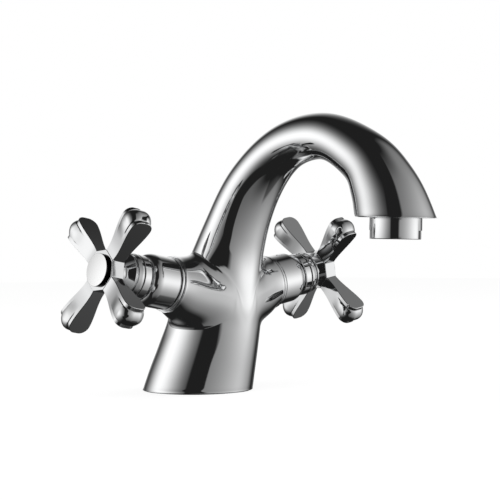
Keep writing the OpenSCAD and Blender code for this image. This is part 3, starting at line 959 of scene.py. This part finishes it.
@dataclass
class CrossHandle:
    """Bell, faceted hub and four flared arms of one handle."""

    side: Side
    chrome: Material
    turn: float
    bell_from: float = 58.2
    bell_len: float = 11.8
    bell_r: float = 11.6
    neck_r: float = 7.2
    hub_t: float = 7.4
    hub_facets: int = 8
    web_r: float = 10.0
    root_w: float = 8.6
    tip_w: float = 12.6
    root_t: float = 6.8
    tip_t: float = 11.5
    tip_lead: float = 0.1
    plate_end: float = 35.2
    plate_t: float = 2.0
    side_corner: float = 4.5
    outline_steps: int = 12
    step_from: float = 21.0
    step_len: float = 9.0
    band_shares: tuple[float, ...] = (1.0, 0.86, 0.66, 0.42, 0.2)
    band_inset: float = 1.15
    ridge: float = 0.45
    crown_face: float = 0.45
    crown_tip: float = 1.8
    bore_r: float = 9.35
    bore_deep: float = 2.6
    spline_r: float = 4.05
    screw_r: float = 2.3
    head_r: float = 3.7
    plug_r: float = 6.3
    cap_seat_r: float = 8.22
    cap_plug: float = 1.5

    def build(self) -> Object:
        """Makes the handle as one casting.

        Returns:
            The finished piece.
        """
        label = self.side.label
        hub_back = self.bell_from + self.bell_len
        hub_mid = hub_back + self.hub_t / 2
        obj = self._bell(hub_back).solid(f"{label}_cross")
        for bm in [self._hub(hub_mid)] + [self._arm(hub_mid, 90.0 * k) for k in range(4)]:
            turn_mesh(bm, self.turn)
            combine(obj, to_object(bm, "part"), "UNION")
        combine(obj, self._socket(hub_back).solid("tool"))
        obj.data.transform(ValveAxis(self.side).matrix())
        return finish_piece(
            obj,
            self.side.body,
            self.chrome,
            f"{label}_handle",
            crease=34.0,
            crisp=True,
        )

    def _bell(self, hub_back: float) -> Turning:
        """Turned bell with its grooved ring, and the neck.

        Args:
            hub_back: Where the hub starts along the axis.

        Returns:
            Their shape.
        """
        s = self.bell_from
        r = self.bell_r
        return Turning(
            (
                Corner(0, s),
                Corner(r, s, 0.35),
                Corner(r, s + 1.3, 1.0),
                Corner(r - 0.5, s + 3.2, 0.3),
                Corner(r - 1.8, s + 3.4, 0.1),
                Corner(r - 1.8, s + 4.2, 0.1),
                Corner(r - 0.4, s + 4.4, 0.3),
                Corner(r - 0.5, s + 5.1, 0.3),
                Corner(self.neck_r, s + 8.3, 1.2),
                Corner(self.neck_r, hub_back + 0.3),
                Corner(0, hub_back + 0.3),
            )
        )

    def _hub(self, hub_mid: float) -> BMesh:
        """Faceted hub whose flat webs lie between the arms.

        Args:
            hub_mid: Distance along the axis of the hub's middle.

        Returns:
            Its closed mesh.
        """
        half_facet = 180.0 / self.hub_facets
        r = self.web_r / unit(half_facet)[0]
        bm = cylinder(r, self.hub_t, self.hub_facets, (0, 0, hub_mid))
        turn_mesh(bm, half_facet)
        bmesh.ops.bevel(
            bm, geom=bm.edges[:], offset=0.3, affect="EDGES", segments=3, profile=0.5, material=-1
        )
        return bm

    def _side_outline(self) -> list[Vector]:
        """Outline of the arm seen from its side, once round from the hub's front.

        Returns:
            Distance from the axis and height from the arm's middle.
        """
        root, tip = self.root_t / 2, self.tip_t / 2
        corner, end, steps = self.side_corner, self.plate_end, self.outline_steps
        front = self.hub_t / 2
        upper = [Vector((0.5, front - 0.15)), Vector((self.web_r * 0.7, front - 0.1))]
        for k in range(steps):
            x = blend(self.web_r + 2, end - corner, k / steps)
            upper.append(Vector((x, blend(root, tip, ease(k / steps)))))
        for k in range(steps + 1):
            c, s = unit(90.0 * (1 - k / steps))
            upper.append(Vector((end - corner + corner * c, tip - corner + corner * s)))
        return upper + [Vector((p.x, -p.y)) for p in reversed(upper)]

    def _arm(self, hub_mid: float, turn: float) -> BMesh:
        """One arm: two flat side plates with a raised, crowned band between them.

        Args:
            hub_mid: Distance along the axis of the arm's middle.
            turn: Degrees about the axis.

        Returns:
            The arm's closed mesh.
        """
        outline = self._side_outline()
        ends = zip(outline[-1:] + outline[:-1], outline[1:] + outline[:1])
        normals = [Vector((a.y - b.y, b.x - a.x)).normalized() for a, b in ends]
        rows = [(1.0, 0.0, -0.25), (1.0, 0.1, 0.0), (1.0, 1.0, 0.0)]
        rows += [(share, self.band_inset, self.ridge) for share in self.band_shares]
        mirrored = [(-share, inset, lift) for share, inset, lift in reversed(rows)]
        rows += [(0.0, 0.0, self.ridge)] + mirrored
        slices = [self._slice(outline, normals, row, hub_mid) for row in rows]
        bm = bmesh.new()
        ring = [bm.verts.new(spot) for spot in slices[0]]
        close_ring(bm, [bm.edges.new(pair) for pair in zip(ring, ring[1:] + ring[:1])])
        for places in slices[1:]:
            ring = extrude_ring(bm, ring, places)
        close_ring(bm, ring_edges(bm, ring))
        bmesh.ops.recalc_face_normals(bm, faces=bm.faces)
        turn_mesh(bm, turn)
        return bm

    def _slice(
        self,
        outline: list[Vector],
        normals: list[Vector],
        row: tuple[float, float, float],
        hub_mid: float,
    ) -> list[Vector]:
        """Places of the outline's points on one slice across the arm.

        Args:
            outline: The side outline.
            normals: Its outward normals.
            row: Share of the way from the arm's middle to one side, how far that side is
                taken in as a share of the side plate, and how far the slice stands out.
            hub_mid: Distance along the axis of the arm's middle.

        Returns:
            One place for each point.
        """
        share, inset, lift = row
        places = []
        for p, normal in zip(outline, normals):
            out = (p.x - self.web_r) / (self.plate_end - self.web_r)
            wide = blend(self.root_w, self.tip_w, out) / 2 - inset * self.plate_t
            rise = lift
            if lift > 0:
                crown = blend(self.crown_face, self.crown_tip, max(normal.x, 0.0))
                rise += (1 - share * share) * crown
                rise *= ease((p.x - self.step_from) / self.step_len)
            raised = p + normal * rise
            along = hub_mid + raised.y + self.tip_lead * ease(out)
            places.append(Vector((raised.x, share * wide, along)))
        return places

    def _socket(self, hub_back: float) -> Turning:
        """Bell's bore, spline socket, screw hole and the cap's seat.

        Args:
            hub_back: Where the hub starts along the axis.

        Returns:
            The shape that is cut out.
        """
        front = hub_back + self.hub_t
        bore_end = self.bell_from + self.bore_deep
        head_end = front - self.cap_plug - 0.2
        head_from = front - self.cap_plug - 2.6
        return Turning(
            (
                Corner(0, self.bell_from - 1),
                Corner(self.bore_r, self.bell_from - 1),
                Corner(self.bore_r, bore_end),
                Corner(self.spline_r, bore_end),
                Corner(self.spline_r, hub_back + 1.5),
                Corner(self.screw_r, hub_back + 1.5),
                Corner(self.screw_r, head_from),
                Corner(self.head_r, head_from),
                Corner(self.head_r, head_end),
                Corner(self.plug_r, head_end),
                Corner(self.plug_r, front - 0.02),
                Corner(self.cap_seat_r, front - 0.02),
                Corner(self.cap_seat_r, front + 8),
                Corner(0, front + 8),
            ),
            segments=96,
        )


@dataclass
class IndexCap:
    """Flat round cap in the middle of a handle."""

    side: Side
    satin: Material
    hub_front: float = 77.4
    height: float = 1.8
    r: float = 8.2
    plug_r: float = 6.2
    plug: float = 1.5

    def build(self) -> Object:
        """Makes the cap.

        Returns:
            The finished piece.
        """
        label = self.side.label
        under, top = self.hub_front - 0.01, self.hub_front + self.height
        shape = Turning(
            (
                Corner(0, self.hub_front - self.plug),
                Corner(self.plug_r, self.hub_front - self.plug),
                Corner(self.plug_r, under),
                Corner(self.r, under),
                Corner(self.r, top, 0.15),
                Corner(0, top),
            )
        )
        obj = shape.solid(f"{label}_cap", ValveAxis(self.side).matrix())
        return finish_piece(obj, self.side.body, self.satin, f"{label}_index_cap")


@dataclass
class AeratorHousing:
    """Chromed ring under the outlet with two spanner flats."""

    neck: SwanNeck
    chrome: Material
    r: float = 12.0
    height: float = 9.8
    bore_r: float = 10.96
    lip_r: float = 9.6
    lip_t: float = 1.6
    top_gap: float = 0.05
    flat_h: float = 4.0
    flat_depth: float = 0.9
    flat_turn: float = 33.0
    cutter_w: float = 6.0
    cutter_len: float = 30.0

    def build(self) -> Object:
        """Makes the housing.

        Returns:
            The finished piece.
        """
        top, bottom = -self.top_gap, -self.height
        shape = Turning(
            (
                Corner(self.bore_r, top),
                Corner(self.r, top, 0.25),
                Corner(self.r, bottom, 0.45),
                Corner(self.lip_r, bottom, 0.25),
                Corner(self.lip_r, bottom + self.lip_t),
                Corner(self.bore_r, bottom + self.lip_t),
            ),
            hollow=True,
        )
        obj = shape.solid("aerator_ring")
        size = (self.cutter_len, self.cutter_w, self.flat_h + 2)
        outward = self.r - self.flat_depth + self.cutter_w / 2
        middle = (0, outward, bottom + self.flat_h - size[2] / 2)
        for turn in (0.0, 180.0):
            tool = bmesh.new()
            bmesh.ops.create_cube(tool, size=1.0)
            bmesh.ops.scale(tool, vec=size, verts=tool.verts)
            bmesh.ops.translate(tool, vec=middle, verts=tool.verts)
            turn_mesh(tool, self.flat_turn + turn)
            combine(obj, to_object(tool, "tool"))
        obj.data.transform(self.neck.outlet())
        return finish_piece(obj, "tap", self.chrome, "aerator_housing")


@dataclass(frozen=True)
class Value:
    """A number worked out by nodes, which takes part in plain arithmetic."""

    socket: NodeSocket

    def __add__(self, other: Value | float) -> Value:
        """Sum with another value or a number."""
        return work_out("ADD", self, other)

    def __sub__(self, other: Value | float) -> Value:
        """This value less another or a number."""
        return work_out("SUBTRACT", self, other)

    def __rsub__(self, other: float) -> Value:
        """A number less this value."""
        return work_out("SUBTRACT", other, self)

    def __mul__(self, other: Value | float) -> Value:
        """Product with another value or a number."""
        return work_out("MULTIPLY", self, other)

    def __truediv__(self, other: Value | float) -> Value:
        """This value divided by another or a number."""
        return work_out("DIVIDE", self, other)

    def __rtruediv__(self, other: float) -> Value:
        """A number divided by this value."""
        return work_out("DIVIDE", other, self)

    def fade(self, low: float, high: float) -> Value:
        """Smooth step that is 0 at low and 1 at high, whichever is larger.

        Args:
            low: Where it is 0.
            high: Where it is 1.

        Returns:
            The step.
        """
        step = add_node(
            self.socket.id_data,
            "ShaderNodeMapRange",
            {"Value": self, "From Min": low, "From Max": high},
            interpolation_type="SMOOTHSTEP",
        )
        return Value(step.outputs["Result"])


def work_out(kind: str, *given: Value | float, clamp: bool = False) -> Value:
    """Adds a Math node.

    Args:
        kind: Its operation.
        given: Values or numbers for its inputs, at least one of them a value.
        clamp: Whether the result stays between 0 and 1.

    Returns:
        Its result.
    """
    tree = next(item for item in given if isinstance(item, Value)).socket.id_data
    node = tree.nodes.new("ShaderNodeMath")
    node.operation = kind
    node.use_clamp = clamp
    for place, item in zip(node.inputs, given):
        if isinstance(item, Value):
            tree.links.new(item.socket, place)
        else:
            place.default_value = item
    return Value(node.outputs["Value"])


def fill(node: Node, given: dict[str, object]) -> None:
    """Links or sets inputs of a node.

    Args:
        node: The node.
        given: Value, socket or plain value for each input's name.
    """
    for name, item in given.items():
        source = item.socket if isinstance(item, Value) else item
        if isinstance(source, NodeSocket):
            node.id_data.links.new(source, node.inputs[name])
        else:
            node.inputs[name].default_value = source


def add_node(tree: NodeTree, kind: str, given: dict[str, object], **traits: object) -> Node:
    """Adds a node with its own settings and fills its inputs.

    Args:
        tree: Where it goes.
        kind: Its type.
        given: What its inputs get, by name.
        traits: Its settings.

    Returns:
        The node.
    """
    node = tree.nodes.new(kind)
    for trait, choice in traits.items():
        setattr(node, trait, choice)
    fill(node, given)
    return node


class SurfaceMarks:
    """Node group for the fine unevenness that every finish shows."""

    NAME = "surface_marks"
    SOCKETS = {
        "INPUT": {
            "Light": "Color",
            "Dark": "Color",
            "Smooth": "Float",
            "Rough": "Float",
            "Cloud Scale": "Float",
            "Grain Scale": "Float",
        },
        "OUTPUT": {"Colour": "Color", "Roughness": "Float", "Height": "Float"},
    }
    GRAIN_SHARE = 0.35

    @classmethod
    def group(cls) -> NodeTree:
        """The group, built once.

        Returns:
            A node group that puts out a colour, a roughness and a height.
        """
        tree = bpy.data.node_groups.get(cls.NAME)
        if tree is not None:
            return tree
        tree = bpy.data.node_groups.new(cls.NAME, "ShaderNodeTree")
        for way, sockets in cls.SOCKETS.items():
            for label, kind in sockets.items():
                tree.interface.new_socket(
                    name=label, in_out=way, socket_type=f"NodeSocket{kind}"
                )
        given = add_node(tree, "NodeGroupInput", {}).outputs
        place = add_node(tree, "ShaderNodeTexCoord", {}).outputs["Object"]
        cloud, grain = (
            add_node(
                tree,
                "ShaderNodeTexNoise",
                {"Vector": place, "Scale": given[scale], "Detail": detail},
            ).outputs["Fac"]
            for scale, detail in (("Cloud Scale", 3.0), ("Grain Scale", 2.0))
        )
        tint = add_node(
            tree,
            "ShaderNodeMix",
            {"Factor": cloud, "A": given["Dark"], "B": given["Light"]},
            data_type="RGBA",
        )
        gloss = add_node(
            tree,
            "ShaderNodeMapRange",
            {
                "Value": work_out("MULTIPLY_ADD", Value(grain), cls.GRAIN_SHARE, Value(cloud)),
                "From Min": cls.GRAIN_SHARE,
                "From Max": 1.0,
                "To Min": given["Smooth"],
                "To Max": given["Rough"],
            },
        )
        results = {
            "Colour": tint.outputs["Result"],
            "Roughness": gloss.outputs["Result"],
            "Height": grain,
        }
        add_node(tree, "NodeGroupOutput", results)
        return tree


@dataclass(frozen=True)
class Finish:
    """One finish of the object, with its own values for the shared marks."""

    name: str
    light: tuple[float, float, float]
    dark: tuple[float, float, float]
    smooth: float
    rough: float
    metallic: float = 0.0
    cloud_scale: float = 60.0
    grain_scale: float = 900.0
    bump: float = 0.02
    bump_height: float = 0.0001

    def material(self) -> Material:
        """Builds the material.

        Returns:
            The new material.
        """
        mat = bpy.data.materials.new(self.name)
        mat.use_nodes = True
        tree = mat.node_tree
        own = {
            "Light": (*self.light, 1.0),
            "Dark": (*self.dark, 1.0),
            "Smooth": self.smooth,
            "Rough": self.rough,
            "Cloud Scale": self.cloud_scale,
            "Grain Scale": self.grain_scale,
        }
        marks = add_node(tree, "ShaderNodeGroup", own, node_tree=SurfaceMarks.group()).outputs
        uneven = {
            "Strength": self.bump,
            "Distance": self.bump_height,
            "Height": marks["Height"],
        }
        bump = add_node(tree, "ShaderNodeBump", uneven)
        look = {
            "Metallic": self.metallic,
            "Base Color": marks["Colour"],
            "Roughness": marks["Roughness"],
            "Normal": bump.outputs["Normal"],
        }
        fill(tree.nodes["Principled BSDF"], look)
        return mat


@dataclass(frozen=True)
class DarkWall:
    """Painted shade on the side wall below the satin face of the index caps."""

    face_from: float = 79.1
    soft: float = 0.06
    # near-black painted shade, standing in for the dark reflection that the cap's wall shows
    tone: float = 0.012

    def dress(self, mat: Material) -> None:
        """Paints shade into the finish below the face, along either valve's axis.

        Args:
            mat: The caps' material.
        """
        tree = mat.node_tree
        c, s = unit(ValveAxis.arm_rise)
        place = add_node(tree, "ShaderNodeTexCoord", {}).outputs["Object"]
        split = add_node(tree, "ShaderNodeSeparateXYZ", {"Vector": place}).outputs
        out = work_out("ABSOLUTE", Value(split["X"])) * c
        along = out + (Value(split["Z"]) - ARM_Z * MM) * s
        face = along.fade((self.face_from - self.soft) * MM, (self.face_from + self.soft) * MM)
        shader = tree.nodes["Principled BSDF"]
        colour = shader.inputs["Base Color"].links[0].from_socket
        # below the face the cap's own colour gives way to this painted shade
        tones = {"Factor": face, "A": (self.tone, self.tone, self.tone, 1.0), "B": colour}
        mix = add_node(tree, "ShaderNodeMix", tones, data_type="RGBA")
        fill(shader, {"Base Color": mix.outputs["Result"]})


class Palette:
    """Every finish that the object wears, built once each."""

    def __init__(self) -> None:
        """Builds the materials."""
        self.chrome = Finish(
            "polished_chrome", (0.955, 0.96, 0.965), (0.925, 0.93, 0.935), 0.03, 0.05, 1.0
        ).material()
        self.handle_chrome = Finish(
            "handle_chrome", (0.85, 0.855, 0.86), (0.82, 0.825, 0.83), 0.04, 0.06, 1.0
        ).material()
        self.satin = Finish(
            "satin_chrome", (0.97, 0.97, 0.97), (0.95, 0.95, 0.95), 0.12, 0.16, 1.0, bump=0.01
        ).material()
        # the caps' satin finish carries painted shade on the cap's side wall
        DarkWall().dress(self.satin)
        self.brass = Finish(
            "machined_brass", (0.80, 0.62, 0.30), (0.66, 0.48, 0.22), 0.22, 0.38, 1.0, bump=0.15
        ).material()
        self.steel = Finish(
            "stainless_steel", (0.68, 0.68, 0.67), (0.56, 0.56, 0.56), 0.20, 0.36, 1.0, bump=0.12
        ).material()
        self.ceramic = Finish(
            "ground_ceramic", (0.90, 0.89, 0.86), (0.84, 0.83, 0.80), 0.25, 0.40, bump=0.05
        ).material()
        self.plastic = Finish(
            "white_plastic", (0.84, 0.85, 0.86), (0.78, 0.79, 0.80), 0.35, 0.50, bump=0.10
        ).material()
        self.rubber = Finish(
            "black_rubber", (0.035, 0.035, 0.037), (0.02, 0.02, 0.022), 0.55, 0.75, bump=0.3
        ).material()


@dataclass
class HiddenParts:
    """Frame nodes that keep their own shape and only need a finish."""

    frame: dict
    palette: Palette

    def dress(self) -> int:
        """Gives every remaining node its material.

        Returns:
            How many nodes were dressed.
        """
        by_word = (
            (self.palette.rubber, ("spindle_rings", "seal", "gasket")),
            (self.palette.ceramic, ("disc",)),
            (self.palette.plastic, ("washer", "strainer", "core")),
            (self.palette.steel, ("screen", "circlip", "screw")),
            (self.palette.brass, ("valve_body", "spindle")),
        )
        done = 0
        for name, node in self.frame["nodes"].items():
            if node.hide_render:
                continue
            finish = next(mat for mat, words in by_word if any(word in name for word in words))
            node.data.materials.clear()
            node.data.materials.append(finish)
            done += 1
        return done


@dataclass(frozen=True)
class Viewpoint:
    """The photograph's camera in the object's frame."""

    x: float = -456.07
    y: float = -554.08
    z: float = 67.05
    heading: float = 41.73
    pitch: float = 0.58
    roll: float = 0.4
    focal_px: float = 1343.74
    image_px: float = 500.0
    sensor_mm: float = 36.0
    near: float = 0.02
    far: float = 30.0

    def build(self) -> None:
        """Makes the camera and puts it in use."""
        data = bpy.data.cameras.new("photo_camera")
        data.sensor_width = self.sensor_mm
        data.sensor_fit = "HORIZONTAL"
        data.lens = self.focal_px * self.sensor_mm / self.image_px
        data.clip_start = self.near
        data.clip_end = self.far
        cam = bpy.data.objects.new("photo_camera", data)
        bpy.context.scene.collection.objects.link(cam)
        turn = (
            Matrix.Rotation(math.radians(-self.heading), 4, "Z")
            @ Matrix.Rotation(math.radians(90 + self.pitch), 4, "X")
            @ Matrix.Rotation(math.radians(-self.roll), 4, "Z")
        )
        cam.matrix_world = Matrix.Translation(Vector((self.x, self.y, self.z)) * MM) @ turn
        bpy.context.scene.camera = cam


@dataclass(frozen=True)
class SoftPanel:
    """One soft light panel as the chrome sees it, in degrees from the object.

    The panel fades over its spread, faster where the factor for that direction is larger, and
    with a tail it fades out more slowly.
    """

    bearing: float
    height: float
    spread: float
    left: float
    right: float
    up: float
    down: float
    power: float
    tail: bool = False

    def glow(self, bearing: Value, height: Value) -> Value:
        """Brightness of the panel in each direction.

        Args:
            bearing: Compass direction in degrees.
            height: Degrees above the horizon.

        Returns:
            The brightness.
        """
        turned = work_out("WRAP", bearing - self.bearing, 180.0, -180.0)
        above = height - self.height
        across, along = (
            work_out("MAXIMUM", gone, 0.0) * more + work_out("MINIMUM", gone, 0.0) * less
            for gone, more, less in ((turned, self.right, self.left), (above, self.up, self.down))
        )
        far = (across * across + along * along) / self.spread**2
        if self.tail:
            return self.power / (far + 1.0)
        return work_out("EXPONENT", far * -1.0) * self.power


@dataclass(frozen=True)
class SoftLamp:
    """A square soft lamp that reflections and the camera pass by, in metres."""

    name: str
    place: tuple[float, float, float]
    size: float
    watts: float

    def build(self, target: tuple[float, float, float]) -> None:
        """Hangs the lamp so that it faces a point.

        Args:
            target: The point.
        """
        data = bpy.data.lights.new(self.name, "AREA")
        data.size = self.size
        data.energy = self.watts
        lamp = bpy.data.objects.new(self.name, data)
        bpy.context.scene.collection.objects.link(lamp)
        aim = Vector(target) - Vector(self.place)
        turn = aim.to_track_quat("-Z", "Y").to_matrix().to_4x4()
        lamp.matrix_world = Matrix.Translation(self.place) @ turn
        lamp.visible_glossy = False
        lamp.visible_camera = False


@dataclass
class Studio:
    """Pale floor, white surroundings, soft lamps and the panels that the chrome reflects."""

    floor_size: float = 8.0
    floor_white: float = 1.1
    floor_share: float = 0.8
    surround_r: float = 3.2
    centre: tuple[float, float, float] = (0.0, -0.06, 0.06)
    black: float = 0.014
    plain_light: float = 0.55
    lamps: tuple[SoftLamp, ...] = (
        SoftLamp("key_lamp", (-1.2, -0.7, 1.5), 1.2, 14.0),
        SoftLamp("fill_lamp", (1.3, -0.9, 1.2), 1.4, 9.0),
    )
    right_panel: SoftPanel = SoftPanel(
        bearing=50,
        height=-3,
        spread=30,
        left=0.62,
        right=1.05,
        up=0.96,
        down=1.07,
        power=1.0,
        tail=True,
    )
    left_panel: SoftPanel = SoftPanel(
        bearing=-134, height=6, spread=27, left=0.85, right=0.6, up=1.0, down=0.95, power=1.1
    )
    back_panel: SoftPanel = SoftPanel(
        bearing=142, height=14, spread=20, left=0.85, right=1.1, up=0.8, down=1.0, power=0.85
    )

    def build(self) -> None:
        """Makes everything round the object."""
        self._floor()
        self._surround()
        self._world()
        for lamp in self.lamps:
            lamp.build(self.centre)
        bpy.context.scene.view_settings.view_transform = "Standard"

    def _staged(self, bm: BMesh, name: str, mat: Material, unseen: tuple[str, ...]) -> Object:
        """Adds one piece of the studio.

        Args:
            bm: Its mesh, which is freed.
            name: Its name.
            mat: Its material.
            unseen: Kinds of ray that pass it by.

        Returns:
            The object.
        """
        mesh = bpy.data.meshes.new(name)
        bm.to_mesh(mesh)
        bm.free()
        mesh.materials.append(mat)
        obj = bpy.data.objects.new(name, mesh)
        bpy.context.scene.collection.objects.link(obj)
        for kind in unseen:
            setattr(obj, f"visible_{kind}", False)
        return obj

    def _floor(self) -> None:
        """Plain pale floor that keeps the object's shadow."""
        bm = bmesh.new()
        bmesh.ops.create_grid(bm, x_segments=1, y_segments=1, size=self.floor_size / 2)
        mat = bpy.data.materials.new("floor_paint")
        mat.use_nodes = True
        tree = mat.node_tree
        shader = tree.nodes["Principled BSDF"]
        paint = {"Base Color": (0.9, 0.9, 0.9, 1), "Roughness": 0.8, "Specular IOR Level": 0.0}
        fill(shader, paint)
        white = add_node(tree, "ShaderNodeEmission", {"Strength": self.floor_white})
        path = add_node(tree, "ShaderNodeLightPath", {})
        mix = add_node(tree, "ShaderNodeMixShader", {})
        share = Value(path.outputs["Is Camera Ray"]) * self.floor_share
        fill(mix, {"Fac": share})
        for source, place in ((shader.outputs["BSDF"], 1), (white.outputs["Emission"], 2)):
            tree.links.new(source, mix.inputs[place])
        fill(tree.nodes["Material Output"], {"Surface": mix.outputs["Shader"]})
        self._staged(bm, "floor", mat, ("glossy",))

    def _surround(self) -> None:
        """Ring of soft panels and dark gaps that only reflections show."""
        bm = bmesh.new()
        bmesh.ops.create_uvsphere(bm, u_segments=96, v_segments=48, radius=self.surround_r)
        bmesh.ops.reverse_faces(bm, faces=bm.faces)
        mat = bpy.data.materials.new("surround_light")
        mat.use_nodes = True
        tree = mat.node_tree
        tree.nodes.remove(tree.nodes["Principled BSDF"])
        place = add_node(tree, "ShaderNodeTexCoord", {}).outputs["Object"]
        toward = add_node(tree, "ShaderNodeVectorMath", {"Vector": place}, operation="NORMALIZE")
        split = add_node(tree, "ShaderNodeSeparateXYZ", {"Vector": toward.outputs["Vector"]})
        x, y, z = (Value(split.outputs[name]) for name in "XYZ")
        bearing = work_out("DEGREES", work_out("ARCTAN2", x, y * -1.0))
        height = work_out("DEGREES", work_out("ARCSINE", z))
        right = self.right_panel.glow(bearing, height)
        for mask in self._right_masks(bearing, height):
            right = right * mask
        left = self.left_panel.glow(bearing, height) * self._left_mask(bearing, height)
        back = self.back_panel.glow(bearing, height)
        total = work_out("MAXIMUM", work_out("MAXIMUM", right, left), back)
        total = work_out("MAXIMUM", total, self.black)
        glow = add_node(tree, "ShaderNodeEmission", {"Strength": total})
        fill(tree.nodes["Material Output"], {"Surface": glow.outputs["Emission"]})
        dome = self._staged(
            bm, "surround", mat, ("camera", "diffuse", "shadow", "transmission")
        )
        dome.location = self.centre

    def _right_masks(self, bearing: Value, height: Value) -> list[Value]:
        """Edges of the right panel: round the camera, at its far end, above and below.

        Args:
            bearing: Compass direction in degrees.
            height: Degrees above the horizon.

        Returns:
            One mask for each edge.
        """
        camera_edge, camera_lean = -34.0, 9.0
        notch_slope, notch_from = -0.42, 16.6
        under_share = 0.65
        lean = height.fade(2.0, 20.0) * camera_lean + camera_edge
        dark = (1.0 - (bearing - lean).fade(-4.0, 6.0)) * height.fade(-14.0, -10.0)
        slant = height + (bearing * notch_slope + notch_from)
        notch = bearing.fade(-16.0, -31.0) * height.fade(-8.0, -12.0) * slant.fade(-0.8, 1.6)
        under = bearing.fade(40.0, 52.0) * height.fade(-49.0, -56.0) * under_share
        near_end, far_end = bearing.fade(-66.0, -60.0), bearing.fade(112.0, 84.0)
        top, bottom = height.fade(84.0, 55.0), height.fade(-84.0, -52.0)
        return [1.0 - under, 1.0 - dark, 1.0 - notch, near_end, far_end, top, bottom]

    def _left_mask(self, bearing: Value, height: Value) -> Value:
        """Edge of the left panel, which ends sooner below.

        Args:
            bearing: Compass direction in degrees.
            height: Degrees above the horizon.

        Returns:
            The mask.
        """
        low_lead = 24.0
        sooner = height.fade(-18.0, -21.0) * low_lead
        near_edge = (bearing + sooner).fade(-65.0, -73.0)
        return work_out("ADD", near_edge, bearing.fade(60.0, 90.0), clamp=True)

    def _world(self) -> None:
        """White surroundings for the camera and for reflections, softer for plain light."""
        world = bpy.data.worlds.new("studio")
        bpy.context.scene.world = world
        world.use_nodes = True
        tree = world.node_tree
        path = add_node(tree, "ShaderNodeLightPath", {}).outputs
        camera, glossy, through = (
            Value(path[f"Is {kind} Ray"]) for kind in ("Camera", "Glossy", "Transmission")
        )
        seen = work_out("ADD", camera + glossy, through, clamp=True)
        level = seen * (1.0 - self.plain_light) + self.plain_light
        fill(tree.nodes["Background"], {"Color": WHITE, "Strength": level})


def main() -> None:
    """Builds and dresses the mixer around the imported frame."""
    logging.basicConfig(level=logging.INFO, format="%(message)s")
    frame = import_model()
    palette = Palette()
    neck = SwanNeck()
    pieces = [CastBody(neck, palette.chrome).build()]
    for side, turn in ((Side.HOT, 50.0), (Side.COLD, 47.0)):
        pieces += ValveTrim(side, palette.chrome).build()
        pieces.append(CrossHandle(side, palette.handle_chrome, turn).build())
        pieces.append(IndexCap(side, palette.satin).build())
    pieces.append(AeratorHousing(neck, palette.chrome).build())
    for piece in pieces:
        LOG.info("%s: %d faces", piece.name, len(piece.data.polygons))
    LOG.info("%d frame nodes dressed", HiddenParts(frame, palette).dress())
    Viewpoint().build()
    Studio().build()


if __name__ == "__main__":
    main()
